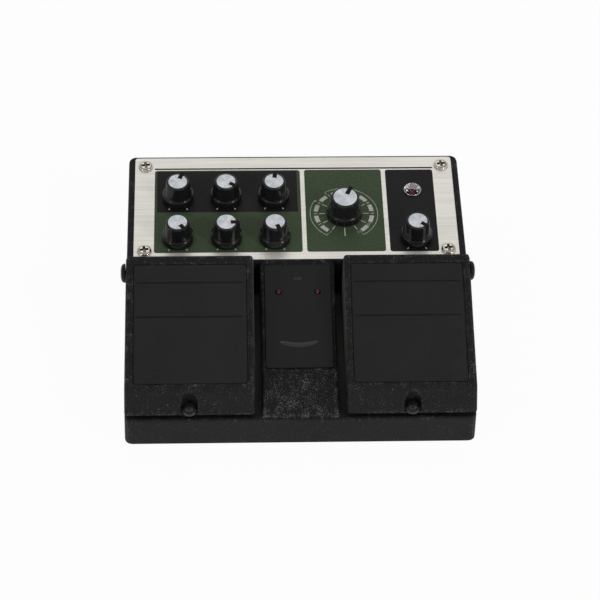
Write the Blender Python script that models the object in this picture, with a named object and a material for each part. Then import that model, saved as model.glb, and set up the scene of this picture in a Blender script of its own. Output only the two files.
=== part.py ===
# Twin-treadle guitar effects pedal, built from its separate pieces.
# Frame: origin on the ground under the middle of the pedal, +X to the right,
# +Y to the rear (the jack panel), +Z up. Blender units are metres.

import math

import bpy
import bmesh
from mathutils import Matrix, Vector

MM = 0.001
WELD = MM / 10000
DEG = math.pi / 180.0

# Overall
BODY_WIDTH = 173.0 * MM
FRONT_FOOT_Y = -79.0 * MM
REAR_Y = 77.0 * MM
FOOT_HEIGHT = 2.0 * MM
SIDE_DRAFT_SHARE = 0.018
HALF_WIDTH = BODY_WIDTH / 2
GAP = 0.3 * MM
OVERRUN = 2.0 * MM
SIDES = (-1, 1)
SIDE_NAMES = {-1: "left", 1: "right"}

# Heights in the panel box: main board, jacks above it, controls above them
MAIN_BOARD_HEIGHT = 9.0 * MM
JACK_BOARD_ROOM = 3.5 * MM
JACK_BODY_HEIGHT = 13.0 * MM
PANEL_ROOM = 17.3 * MM
JACK_HEIGHT = MAIN_BOARD_HEIGHT + JACK_BOARD_ROOM + JACK_BODY_HEIGHT / 2

# Cast chassis
WALL = 2.5 * MM
LIP_SET_BACK = 1.4 * MM
LIP_TOP_Y = FRONT_FOOT_Y + LIP_SET_BACK
DECK_HEIGHT = 25.0 * MM
DECK_RISE = 6.2 * MM
LIP_HEIGHT = DECK_HEIGHT - DECK_RISE
PANEL_BOX_FRONT_Y = 4.6 * MM
CORNER_RADIUS = 3.5 * MM
CAST_EDGE = 1.0 * MM
CORNER_SEGMENTS = 3
EDGE_SEGMENTS = 2

# Control plate, a thin sheet let into the top of the panel box
PLATE_SIDE_MARGIN = 4.0 * MM
PLATE_HALF_WIDTH = HALF_WIDTH - PLATE_SIDE_MARGIN
PLATE_FRONT_MARGIN = 1.3 * MM
PLATE_FRONT_Y = PANEL_BOX_FRONT_Y + PLATE_FRONT_MARGIN
PLATE_REAR_MARGIN = 0.9 * MM
PLATE_REAR_Y = REAR_Y - PLATE_REAR_MARGIN
PLATE_FRONT_HEIGHT = JACK_HEIGHT + JACK_BODY_HEIGHT / 2 + PANEL_ROOM
PLATE_RISE = 1.6 * MM
PLATE_REAR_HEIGHT = PLATE_FRONT_HEIGHT + PLATE_RISE
PLATE_THICKNESS = 1.2 * MM
PLATE_RIM = 0.3 * MM
PLATE_CORNER = 1.5 * MM
PLATE_GAP = 0.3 * MM
PANEL_WALL = 2.2 * MM

# Ridge between the treadles
RIDGE_HALF_WIDTH = 18.7 * MM
RIDGE_STEP = 0.8 * MM
RIDGE_REAR_HEIGHT = PLATE_FRONT_HEIGHT - RIDGE_STEP
RIDGE_SET_BACK = 1.0 * MM
RIDGE_FRONT_Y = LIP_TOP_Y + RIDGE_SET_BACK
RIDGE_FRONT_RISE = 1.8 * MM
RIDGE_FRONT_HEIGHT = LIP_HEIGHT + RIDGE_FRONT_RISE

# Decks under the treadles
DECK_INNER_X = 25.6 * MM
DECK_SIDE_ROOM = 4.2 * MM
DECK_OUTER_X = HALF_WIDTH - DECK_SIDE_ROOM
DECK_SET_BACK = 8.0 * MM
DECK_FRONT_Y = LIP_TOP_Y + DECK_SET_BACK
DECK_CORNER = 1.5 * MM

# Battery bays, each for three cells side by side
COLUMN_ROOM = 8.5 * MM
BAY_REAR_ROOM = 5.4 * MM
BAY_WALL = 1.5 * MM
BAY_SET_BACK = 2.8 * MM
BAY_FLOOR = 2.0 * MM
BAY_FLOOR_HEIGHT = 13.3 * MM

# Treadles
TREAD_INNER_X = 22.4 * MM
TREAD_PANEL_GAP = 7.2 * MM
TREAD_REAR_Y = PANEL_BOX_FRONT_Y - TREAD_PANEL_GAP
TREAD_REAR_HEIGHT = 56.0 * MM
TREAD_SET_BACK = 0.7 * MM
TREAD_FRONT_Y = LIP_TOP_Y + TREAD_SET_BACK
APRON_LENGTH = 7.3 * MM
TREAD_FOLD_Y = TREAD_FRONT_Y + APRON_LENGTH
TREAD_FOLD_RISE = 8.4 * MM
TREAD_FOLD_HEIGHT = DECK_HEIGHT + TREAD_FOLD_RISE
TREAD_BOTTOM_RISE = 3.0 * MM
TREAD_BOTTOM = LIP_HEIGHT + TREAD_BOTTOM_RISE
TREAD_TOP_WALL = 2.4 * MM
TREAD_SIDE_WALL = 2.3 * MM
TREAD_EDGE = 1.5 * MM
REAR_WALL_RISE = 3.0 * MM
TREAD_REAR_WALL_BOTTOM = DECK_HEIGHT + REAR_WALL_RISE
RIB_THICKNESS = 1.6 * MM
RIB_DEPTH = 3.0 * MM
RIB_SHARES = (0.3, 0.62)

# Rubber pads let into the treadles
PAD_MARGIN_SIDE = 3.6 * MM
PAD_REAR_OFFSET = 5.4 * MM
PAD_FRONT_MARGIN = 2.5 * MM
PAD_DEPTH = 0.8 * MM
PAD_THICKNESS = 1.6 * MM
PAD_CORNER = 1.2 * MM
PAD_BEVEL = 0.9 * MM
PAD_GROOVES = (10.0 * MM, 28.2 * MM)
PAD_GROOVE_WIDTH = 1.0 * MM
PAD_GROOVE_DEPTH = 0.5 * MM

# Hinges of the treadles
HINGE_SET_BACK = 4.8 * MM
HINGE_Y = TREAD_REAR_Y - HINGE_SET_BACK
HINGE_DROP = 8.0 * MM
HINGE_HEIGHT = TREAD_REAR_HEIGHT - HINGE_DROP
EAR_RADIUS = 3.2 * MM
EAR_THICKNESS = 2.2 * MM
EAR_FOOT = 5.2 * MM
PIN_RADIUS = 1.6 * MM
PIN_CLEARANCE = 0.15 * MM
BOLT_HEAD_RADIUS = 4.8 * MM
BOLT_HEAD_HEIGHT = 2.3 * MM
BOLT_HEAD_RIM = 1.1 * MM
BOLT_SOCKET_RADIUS = 1.5 * MM
BOLT_SOCKET_DEPTH = 1.2 * MM

# Thumbscrews that hold the treadles shut
THUMB_SET_BACK = 2.3 * MM
THUMB_Y = TREAD_FRONT_Y + THUMB_SET_BACK
THUMB_HEAD_RADIUS = 3.8 * MM
THUMB_HEAD_RIM = 0.9 * MM
THUMB_HEAD_DOME = 0.5 * MM
THUMB_WELL_CLEARANCE = 0.4 * MM
THUMB_WELL_WALL = 1.2 * MM
THUMB_FLOOR = 0.8 * MM
THUMB_SHAFT_RADIUS = 1.2 * MM
THUMB_TIP_RADIUS = 0.6 * MM
THUMB_TIP_LENGTH = 1.0 * MM
THUMB_REACH = 1.2 * MM
THUMB_SLOT_WIDTH = 1.2 * MM
THUMB_SLOT_DEPTH = 0.6 * MM
THUMB_HOLE_CLEARANCE = 0.2 * MM
THUMB_SWING = 1.3 * MM
THUMB_BLOCK_DROP = 4.0 * MM
THUMB_BLOCK_TOP = LIP_HEIGHT - THUMB_BLOCK_DROP
THUMB_BLOCK_BOTTOM = 8.0 * MM
THUMB_BLOCK_HALF_WIDTH = 4.0 * MM

# Return springs and foot switches beside the cells
SPRING_RADIUS = 2.9 * MM
SPRING_WIRE_RADIUS = 0.45 * MM
SPRING_TURNS = 4.5
SPRING_STEPS = 8
SPRING_SEAT_BOSS = 3.0 * MM
SPRING_SEAT_RADIUS = 3.8 * MM
SPRING_POST_RADIUS = 1.8 * MM
SPRING_POST_LENGTH = 2.4 * MM
SWITCH_SET_BACK = 8.1 * MM
SWITCH_Y = DECK_FRONT_Y + SWITCH_SET_BACK
SPRING_SWITCH_PITCH = 15.5 * MM
SPRING_Y = SWITCH_Y + SPRING_SWITCH_PITCH
SWITCH_HALF = 3.2 * MM
SWITCH_HEIGHT = 4.3 * MM
SWITCH_BORE_DEPTH = 3.8 * MM
PLUNGER_RADIUS = 1.6 * MM
PLUNGER_CLEARANCE = 0.15 * MM
PLUNGER_RISE = 1.6 * MM
PLUNGER_TOP = DECK_HEIGHT + GAP + SWITCH_HEIGHT + PLUNGER_RISE
PLUNGER_LENGTH = 3.6 * MM
PUSHER_RADIUS = 2.4 * MM

# Knobs, in the plane of the control plate: x as a share of its half width, distance from its front edge
KNOB_COLUMN_SHARES = (-0.72848, -0.4303, -0.13212)
KNOB_COLUMNS = [PLATE_HALF_WIDTH * share for share in KNOB_COLUMN_SHARES]
KNOB_FRONT_ROW = 14.0 * MM
KNOB_REAR_ROW = 41.7 * MM
MODE_X_SHARE = 0.30424
MODE_X = PLATE_HALF_WIDTH * MODE_X_SHARE
MODE_S = 30.3 * MM
INPUT_X_SHARE = 0.74061
INPUT_X = PLATE_HALF_WIDTH * INPUT_X_SHARE
LED_CUP_S = 46.5 * MM
POINTER_ANGLES = {
    "upper_left": 23, "upper_middle": 123, "upper_right": 7,
    "lower_left": 143, "lower_middle": 93, "lower_right": 158,
    "input": 129, "mode": 25,
}
KNOB_LIFT = 0.5 * MM
KNOB_TOP = 12.9 * MM
KNOB_TOP_RADIUS = 5.8 * MM
KNOB_SKIRT_RADIUS = 8.0 * MM
MODE_TOP_RADIUS = 7.1 * MM
MODE_SKIRT_RADIUS = 9.2 * MM
KNOB_RIM = 0.83 * MM
KNOB_RIM_DROP = 0.35 * MM
KNOB_CAP_THICKNESS = 0.6 * MM
KNOB_CAP_RECESS = 0.5 * MM
KNOB_CAP_GAP = 0.12 * MM
KNOB_WALL = 1.1 * MM
KNOB_HOLLOW = 3.3 * MM
KNOB_SEGMENTS = 18
POINTER_WIDTH = 1.7 * MM
POINTER_LENGTH_SHARE = 0.5
POINTER_GAP = 0.12 * MM
POINTER_SET_BACK = 0.15 * MM
SHAFT_RADIUS = 3.0 * MM
SHAFT_CLEARANCE = 0.15 * MM
SHAFT_TOP = 10.6 * MM
SHAFT_DEPTH = 9.0 * MM
BUSH_RADIUS = 3.6 * MM
MODE_BUSH_RADIUS = 4.4 * MM
BUSH_TOP = 2.8 * MM
BUSH_HOLE_CLEARANCE = 0.3 * MM
POT_RADIUS = 8.2 * MM
POT_HEIGHT = 7.0 * MM
MODE_SWITCH_RADIUS = 11.5 * MM
MODE_SWITCH_HEIGHT = 8.2 * MM
ROUND_SEGMENTS = 16
SMALL_SEGMENTS = 12
HOLE_SEGMENTS = 10

# Peak light and its bezel
CUP_RADIUS = 4.6 * MM
CUP_RIM = 0.9 * MM
CUP_BARREL_RADIUS = 3.7 * MM
CUP_DEPTH = 6.0 * MM
CUP_THROAT_RADIUS = 1.75 * MM
CUP_THROAT_DEPTH = 3.2 * MM
LED_RADIUS = 1.5 * MM
LED_HEIGHT = 4.6 * MM

# Centre cover on the ridge
COVER_HALF_WIDTH = 16.6 * MM
COVER_START = 1.9 * MM
COVER_LENGTH = 56.8 * MM
COVER_THICKNESS = 1.4 * MM
COVER_RECESS = 1.2 * MM
COVER_CORNER = 1.0 * MM
STATUS_LED_X = 9.75 * MM
STATUS_LED_S = 17.0 * MM
LENS_S = 9.5 * MM
LENS_WIDTH = 4.6 * MM
LENS_LENGTH = 1.9 * MM
LENS_DEPTH = 2.6 * MM
GRIP_S = 44.2 * MM
GRIP_HALF_WIDTH = 9.2 * MM
GRIP_SAG = 2.4 * MM
GRIP_WIDTH = 1.3 * MM
GRIP_DEPTH = 0.5 * MM

# Panel screws
SCREW_SIDE_INSET = 5.5 * MM
SCREW_X = PLATE_HALF_WIDTH - SCREW_SIDE_INSET
SCREW_FRONT_S = 5.8 * MM
SCREW_REAR_INSET = 6.2 * MM
SCREW_HEAD_RADIUS = 3.7 * MM
SCREW_HEAD_HEIGHT = 1.9 * MM
SCREW_SHAFT_RADIUS = 1.5 * MM
SCREW_LENGTH = 6.0 * MM
CROSS_WIDTH = 1.0 * MM
CROSS_SPAN = 4.4 * MM
CROSS_DEPTH = 1.1 * MM

# Rear panel
JACK_POST_ROOM = 3.0 * MM
JACK_INNER_SHARE = 0.66667
CONTROL_JACK_SHARE = -0.28571
DC_SHARE = 0.15873
JACK_BORE_RADIUS = 3.25 * MM
JACK_BUSH_RADIUS = 4.7 * MM
JACK_BUSH_LENGTH = 4.8 * MM
JACK_BORE_DEPTH = 30.0 * MM
JACK_BODY_WIDTH = 15.0 * MM
JACK_BODY_LENGTH = 27.0 * MM
DC_WIDTH = 11.0 * MM
DC_HEIGHT = 11.0 * MM
DC_LENGTH = 13.0 * MM
DC_BORE_RADIUS = 2.9 * MM
DC_BORE_DEPTH = 9.0 * MM
DC_PIN_RADIUS = 1.0 * MM
DC_PIN_SET_BACK = 1.0 * MM
DC_FACE_SET_BACK = 0.8 * MM

# Circuit boards
BOARD_THICKNESS = 1.6 * MM
BOARD_MARGIN = 4.0 * MM
BOARD_SOLDER_DEPTH = 0.5 * MM
STANDOFF_RADIUS = 2.6 * MM
STANDOFF_SIDE_ROOM = 19.0 * MM
STANDOFF_INSET = 8.0 * MM

# Bottom cover, feet and screws
COVER_PLATE_THICKNESS = 1.2 * MM
COVER_PLATE_INSET = 1.6 * MM
COVER_PLATE_CORNER = 3.0 * MM
BASE_SHEET_MARGIN = 4.5 * MM
BASE_SHEET_CORNER = 8.0 * MM
BASE_SHEET_EDGE = 0.5 * MM
BOTTOM_SCREW_MIDDLE_Y = -36.0 * MM
BOTTOM_SCREW_ACCESS = 3.2 * MM
BOTTOM_SCREW_SHAFT = 1.5 * MM
BOTTOM_SCREW_LENGTH = 6.0 * MM
POST_RADIUS = 3.5 * MM

# Places worked out from the sizes above
TILT = math.atan2(PLATE_REAR_HEIGHT - PLATE_FRONT_HEIGHT, PLATE_REAR_Y - PLATE_FRONT_Y)
PANEL = Matrix.Translation((0, PLATE_FRONT_Y, PLATE_FRONT_HEIGHT)) @ Matrix.Rotation(TILT, 4, "X")
PLATE_LENGTH = math.hypot(PLATE_REAR_Y - PLATE_FRONT_Y, PLATE_REAR_HEIGHT - PLATE_FRONT_HEIGHT)
RIDGE_SLOPE = math.atan2(RIDGE_REAR_HEIGHT - RIDGE_FRONT_HEIGHT, PANEL_BOX_FRONT_Y - RIDGE_FRONT_Y)
RIDGE = Matrix.Translation((0, PANEL_BOX_FRONT_Y, RIDGE_REAR_HEIGHT)) @ Matrix.Rotation(RIDGE_SLOPE, 4, "X")
TREAD_SLOPE = math.atan2(TREAD_REAR_HEIGHT - TREAD_FOLD_HEIGHT, TREAD_REAR_Y - TREAD_FOLD_Y)
TREAD = Matrix.Translation((0, TREAD_REAR_Y, TREAD_REAR_HEIGHT)) @ Matrix.Rotation(TREAD_SLOPE, 4, "X")
TREAD_LENGTH = math.hypot(TREAD_REAR_HEIGHT - TREAD_FOLD_HEIGHT, TREAD_REAR_Y - TREAD_FOLD_Y)
PAD_LENGTH = TREAD_LENGTH - PAD_REAR_OFFSET - PAD_FRONT_MARGIN
TREAD_DROP = TREAD_TOP_WALL / math.cos(TREAD_SLOPE)
SPRING_ROOF_HEIGHT = TREAD_REAR_HEIGHT - (TREAD_REAR_Y - SPRING_Y) * math.tan(TREAD_SLOPE) - TREAD_DROP
SPRING_SEAT_HEIGHT = SPRING_ROOF_HEIGHT - SPRING_SEAT_BOSS
APRON_SLOPE = math.atan2(TREAD_FOLD_HEIGHT - TREAD_BOTTOM, TREAD_FOLD_Y - TREAD_FRONT_Y)
SEAT_DEPTH = PLATE_THICKNESS + PLATE_GAP
CAST_TOP_DEPTH = SEAT_DEPTH + PANEL_WALL
POT_TOP_DEPTH = CAST_TOP_DEPTH + GAP
BAY_INNER_X = DECK_INNER_X + BAY_WALL
BAY_OUTER_X = DECK_OUTER_X - COLUMN_ROOM - BAY_WALL
BAY_FRONT_Y = DECK_FRONT_Y + BAY_SET_BACK
BAY_REAR_Y = HINGE_Y - BAY_REAR_ROOM
COLUMN_X = (BAY_OUTER_X + BAY_WALL + DECK_OUTER_X) / 2
THUMB_X = (TREAD_INNER_X + HALF_WIDTH) / 2
THUMB_SEAT = TREAD_BOTTOM + THUMB_FLOOR
SCREW_REAR_S = PLATE_LENGTH - SCREW_REAR_INSET
JACK_OUTER_X = SCREW_X - POST_RADIUS - JACK_BODY_WIDTH / 2 - JACK_POST_ROOM
JACK_INNER_X = JACK_OUTER_X * JACK_INNER_SHARE
CONTROL_JACK_X = JACK_OUTER_X * CONTROL_JACK_SHARE
DC_X = JACK_OUTER_X * DC_SHARE
STANDOFF_X = SCREW_X - STANDOFF_SIDE_ROOM
JACKS = {
    "output_jack_left": -JACK_OUTER_X, "output_jack_right": -JACK_INNER_X, "control_jack": CONTROL_JACK_X,
    "input_jack_left": JACK_INNER_X, "input_jack_right": JACK_OUTER_X,
}


def shift(x, y, z):
    return Matrix.Translation((x, y, z))


def side_x(height):
    """Half width of the drafted outer side at a height."""
    return HALF_WIDTH - SIDE_DRAFT_SHARE * (height - FOOT_HEIGHT)


def material(name, color, roughness, metallic=0.0):
    made = bpy.data.materials.new(name)
    made.use_nodes = True
    surface = made.node_tree.nodes["Principled BSDF"]
    surface.inputs["Base Color"].default_value = (*color, 1.0)
    surface.inputs["Roughness"].default_value = roughness
    surface.inputs["Metallic"].default_value = metallic
    made.diffuse_color = (*color, 1.0)
    return made


def finish(name, bm, surface=None, frame=None):
    """Turn a bmesh into a named object standing in the given frame."""
    bmesh.ops.remove_doubles(bm, verts=bm.verts, dist=WELD)
    bmesh.ops.recalc_face_normals(bm, faces=bm.faces)
    mesh = bpy.data.meshes.new(name)
    bm.to_mesh(mesh)
    bm.free()
    piece = bpy.data.objects.new(name, mesh)
    if surface is not None:
        mesh.materials.append(surface)
    if frame is not None:
        piece.matrix_world = frame
    bpy.context.scene.collection.objects.link(piece)
    return piece


def combine(piece, tool, operation):
    """Join, cut or intersect a piece with a helper solid, which is used up."""
    step = piece.modifiers.new(operation, "BOOLEAN")
    step.operation = operation
    step.object = tool
    bpy.context.view_layer.update()
    graph = bpy.context.evaluated_depsgraph_get()
    shape = bpy.data.meshes.new_from_object(piece.evaluated_get(graph))
    piece.modifiers.clear()
    piece.data = shape
    bpy.data.objects.remove(tool)
    return piece


def join(piece, *tools):
    for tool in tools:
        combine(piece, tool, "UNION")
    return piece


def cut(piece, *tools):
    for tool in tools:
        combine(piece, tool, "DIFFERENCE")
    return piece


def rounded(x0, x1, y0, y1, radius=0, segments=CORNER_SEGMENTS):
    """Outline of a rectangle with round corners."""
    if radius == 0:
        return [(x0, y0), (x1, y0), (x1, y1), (x0, y1)]
    points = []
    corners = ((x1, y0, -90), (x1, y1, 0), (x0, y1, 90), (x0, y0, 180))
    for cx, cy, start in corners:
        ox = cx - radius if cx == x1 else cx + radius
        oy = cy - radius if cy == y1 else cy + radius
        for i in range(segments + 1):
            angle = (start + 90 * i / segments) * DEG
            points.append((ox + radius * math.cos(angle), oy + radius * math.sin(angle)))
    return points


def prism(outline, z0, z1):
    """Bmesh of an outline in XY, extruded from z0 to z1."""
    bm = bmesh.new()
    base = bm.faces.new([bm.verts.new((x, y, z0)) for x, y in outline])
    top = bmesh.ops.extrude_face_region(bm, geom=[base])["geom"]
    moved = [v for v in top if isinstance(v, bmesh.types.BMVert)]
    bmesh.ops.translate(bm, verts=moved, vec=(0, 0, z1 - z0))
    return bm


def profile(outline, x0, x1):
    """Bmesh of a side profile in YZ, extruded from x0 to x1."""
    bm = bmesh.new()
    base = bm.faces.new([bm.verts.new((x0, y, z)) for y, z in outline])
    top = bmesh.ops.extrude_face_region(bm, geom=[base])["geom"]
    moved = [v for v in top if isinstance(v, bmesh.types.BMVert)]
    bmesh.ops.translate(bm, verts=moved, vec=(x1 - x0, 0, 0))
    bmesh.ops.recalc_face_normals(bm, faces=bm.faces)
    return bm


def box(x0, x1, y0, y1, z0, z1):
    return prism(rounded(x0, x1, y0, y1), z0, z1)


def disc(radius, segments=ROUND_SEGMENTS):
    """Round outline about the origin."""
    step = 2 * math.pi / segments
    return [(radius * math.cos(i * step), radius * math.sin(i * step)) for i in range(segments)]


def lathe(points, segments=ROUND_SEGMENTS):
    """Bmesh of a closed (radius, height) outline turned about Z."""
    bm = bmesh.new()
    verts = [bm.verts.new((r, 0, z)) for r, z in points]
    edges = [bm.edges.new(pair) for pair in zip(verts, verts[1:] + verts[:1]) if pair[0].co.x or pair[1].co.x]
    bmesh.ops.spin(bm, geom=verts + edges, cent=(0, 0, 0), axis=(0, 0, 1), angle=2 * math.pi,
                   steps=segments, use_merge=True)
    bmesh.ops.remove_doubles(bm, verts=bm.verts, dist=WELD)
    bmesh.ops.recalc_face_normals(bm, faces=bm.faces)
    return bm


def slice_off(bm, point, normal):
    """Take away what lies beyond a plane and close the cut."""
    geom = list(bm.verts) + list(bm.edges) + list(bm.faces)
    cut_at = bmesh.ops.bisect_plane(bm, geom=geom, plane_co=point, plane_no=normal, clear_outer=True)
    rim = [e for e in cut_at["geom_cut"] if isinstance(e, bmesh.types.BMEdge)]
    bmesh.ops.holes_fill(bm, edges=rim, sides=0)
    bmesh.ops.recalc_face_normals(bm, faces=bm.faces)


def soften(bm, width, segments, test):
    """Round the edges that pass a test."""
    bm.normal_update()
    edges = [e for e in bm.edges if len(e.link_faces) == 2 and test(e)]
    bmesh.ops.bevel(bm, geom=edges, offset=width, offset_type="OFFSET", segments=segments,
                    profile=0.5, affect="EDGES", clamp_overlap=True)


def draft(bm, inner=None):
    """Lean the outer sides in with height; a treadle's inner side stays upright."""
    for v in bm.verts:
        reach = abs(v.co.x) / HALF_WIDTH
        if inner is not None:
            reach = max(0.0, (abs(v.co.x) - inner) / (HALF_WIDTH - inner))
        lean = SIDE_DRAFT_SHARE * (v.co.z - FOOT_HEIGHT) * reach
        v.co.x -= math.copysign(lean, v.co.x)


def along_x(x, y, z, side=1):
    """Frame whose Z axis points outward along X."""
    return shift(x, y, z) @ Matrix.Rotation(side * 90 * DEG, 4, "Y")


def along_y(x, y, z):
    """Frame whose Z axis points to the rear."""
    return shift(x, y, z) @ Matrix.Rotation(-90 * DEG, 4, "X")


CAST = material("black_crinkle_coat", (0.022, 0.022, 0.023), 0.55)
RUBBER = material("black_rubber", (0.02, 0.02, 0.02), 0.8)
SHEET = material("brushed_sheet", (0.63, 0.6, 0.55), 0.35, 1.0)
STEEL = material("zinc_steel", (0.5, 0.5, 0.5), 0.35, 1.0)
CHROME = material("chrome", (0.75, 0.75, 0.75), 0.12, 1.0)
KNOB_BLACK = material("gloss_black_knob", (0.012, 0.012, 0.013), 0.2)
KNOB_SILVER = material("turned_cap", (0.6, 0.62, 0.66), 0.3, 1.0)
SMOKE = material("smoked_cover", (0.014, 0.014, 0.015), 0.4)
LENS = material("clear_lens", (0.1, 0.12, 0.15), 0.15)
RED = material("red_led", (0.25, 0.005, 0.008), 0.15)
BOARD = material("green_board", (0.02, 0.12, 0.04), 0.5)
PLASTIC = material("black_plastic", (0.02, 0.02, 0.02), 0.45)
BRASS = material("brass", (0.55, 0.4, 0.15), 0.3, 1.0)


def control_spots():
    """Name, x, distance up the plate and size class of each knob."""
    rows = (("upper", KNOB_REAR_ROW), ("lower", KNOB_FRONT_ROW))
    names = ("left", "middle", "right")
    spots = [(f"{row}_{name}", x, s) for row, s in rows for name, x in zip(names, KNOB_COLUMNS)]
    spots.append(("input", INPUT_X, KNOB_FRONT_ROW))
    spots.append(("mode", MODE_X, MODE_S))
    return spots


def screw_spots():
    return [(side * SCREW_X, s) for s in (SCREW_FRONT_S, SCREW_REAR_S) for side in SIDES]


def bush_radius(name):
    return MODE_BUSH_RADIUS if name == "mode" else BUSH_RADIUS


def body_shell():
    """Base with its front lip and the panel box, as one drafted profile."""
    slope = math.tan(TILT)
    front_top = PLATE_FRONT_HEIGHT + PLATE_RIM - (PLATE_FRONT_Y - PANEL_BOX_FRONT_Y) * slope
    rear_top = PLATE_REAR_HEIGHT + PLATE_RIM + (REAR_Y - PLATE_REAR_Y) * slope
    outline = [(FRONT_FOOT_Y, FOOT_HEIGHT), (REAR_Y, FOOT_HEIGHT), (REAR_Y, rear_top),
               (PANEL_BOX_FRONT_Y, front_top), (PANEL_BOX_FRONT_Y, LIP_HEIGHT), (LIP_TOP_Y, LIP_HEIGHT)]
    bm = profile(outline, -HALF_WIDTH, HALF_WIDTH)

    def corner(e):
        upright = abs(e.verts[0].co.x - e.verts[1].co.x) < CAST_EDGE < abs(e.verts[0].co.z - e.verts[1].co.z)
        ends = max(e.verts[0].co.y, e.verts[1].co.y), min(e.verts[0].co.y, e.verts[1].co.y)
        return upright and (ends[1] > PLATE_REAR_Y or ends[0] < TREAD_FRONT_Y)

    soften(bm, CORNER_RADIUS, CORNER_SEGMENTS, corner)
    draft(bm)

    def rim(e):
        tops = [f.normal.z > 0.9 for f in e.link_faces]
        return e.is_convex and any(tops) and not all(tops)

    soften(bm, CAST_EDGE, EDGE_SEGMENTS, rim)
    return finish("chassis", bm, CAST)


def body_core():
    """Inside of the base and the panel box, a wall thickness in from the outside."""
    slope = math.tan(TILT)
    depth = CAST_TOP_DEPTH / math.cos(TILT)
    front = PANEL_BOX_FRONT_Y + WALL
    rear = REAR_Y - WALL
    shelf = LIP_HEIGHT - WALL
    lean = (LIP_TOP_Y - FRONT_FOOT_Y) / (LIP_HEIGHT - FOOT_HEIGHT)
    lip = FRONT_FOOT_Y + WALL + lean * (shelf - FOOT_HEIGHT)
    outline = [(FRONT_FOOT_Y + WALL - lean * OVERRUN, FOOT_HEIGHT - OVERRUN), (rear, FOOT_HEIGHT - OVERRUN),
               (rear, PLATE_FRONT_HEIGHT + (rear - PLATE_FRONT_Y) * slope - depth),
               (front, PLATE_FRONT_HEIGHT + (front - PLATE_FRONT_Y) * slope - depth),
               (front, shelf), (lip, shelf)]
    bm = profile(outline, -HALF_WIDTH + WALL, HALF_WIDTH - WALL)
    draft(bm)
    return bm


def deck(side):
    x0, x1 = sorted((side * DECK_INNER_X, side * DECK_OUTER_X))
    bm = prism(rounded(x0, x1, DECK_FRONT_Y, PANEL_BOX_FRONT_Y + OVERRUN, DECK_CORNER, EDGE_SEGMENTS),
               LIP_HEIGHT - OVERRUN / 2, DECK_HEIGHT)
    return finish("deck", bm)


def ridge():
    rise = OVERRUN * math.tan(RIDGE_SLOPE)
    foot = LIP_HEIGHT - OVERRUN / 2
    outline = [(RIDGE_FRONT_Y, foot), (PANEL_BOX_FRONT_Y + OVERRUN, foot),
               (PANEL_BOX_FRONT_Y + OVERRUN, RIDGE_REAR_HEIGHT + rise), (RIDGE_FRONT_Y, RIDGE_FRONT_HEIGHT)]
    bm = profile(outline, -RIDGE_HALF_WIDTH, RIDGE_HALF_WIDTH)

    def top_edge(e):
        tops = [f.normal.z > 0.9 for f in e.link_faces]
        runs_back = max(v.co.y for v in e.verts) - min(v.co.y for v in e.verts) > CAST_EDGE
        return any(tops) and not all(tops) and runs_back

    soften(bm, CAST_EDGE, EDGE_SEGMENTS, top_edge)
    return finish("ridge", bm)


def ear(side, x0, x1):
    """Hinge ear: a plate with a round head about the hinge axis."""
    arc = [(HINGE_Y + EAR_RADIUS * math.cos(a * DEG), HINGE_HEIGHT + EAR_RADIUS * math.sin(a * DEG))
           for a in range(0, 181, 30)]
    foot = DECK_HEIGHT - OVERRUN / 2
    outline = arc + [(HINGE_Y - EAR_FOOT, foot), (HINGE_Y + EAR_FOOT, foot)]
    low, high = sorted((side * x0, side * x1))
    return finish("ear", profile(outline, low, high))


def ear_spans():
    outer = DECK_OUTER_X - GAP
    inner = DECK_INNER_X + GAP
    return ((inner, inner + EAR_THICKNESS), (outer - EAR_THICKNESS, outer))


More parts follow.
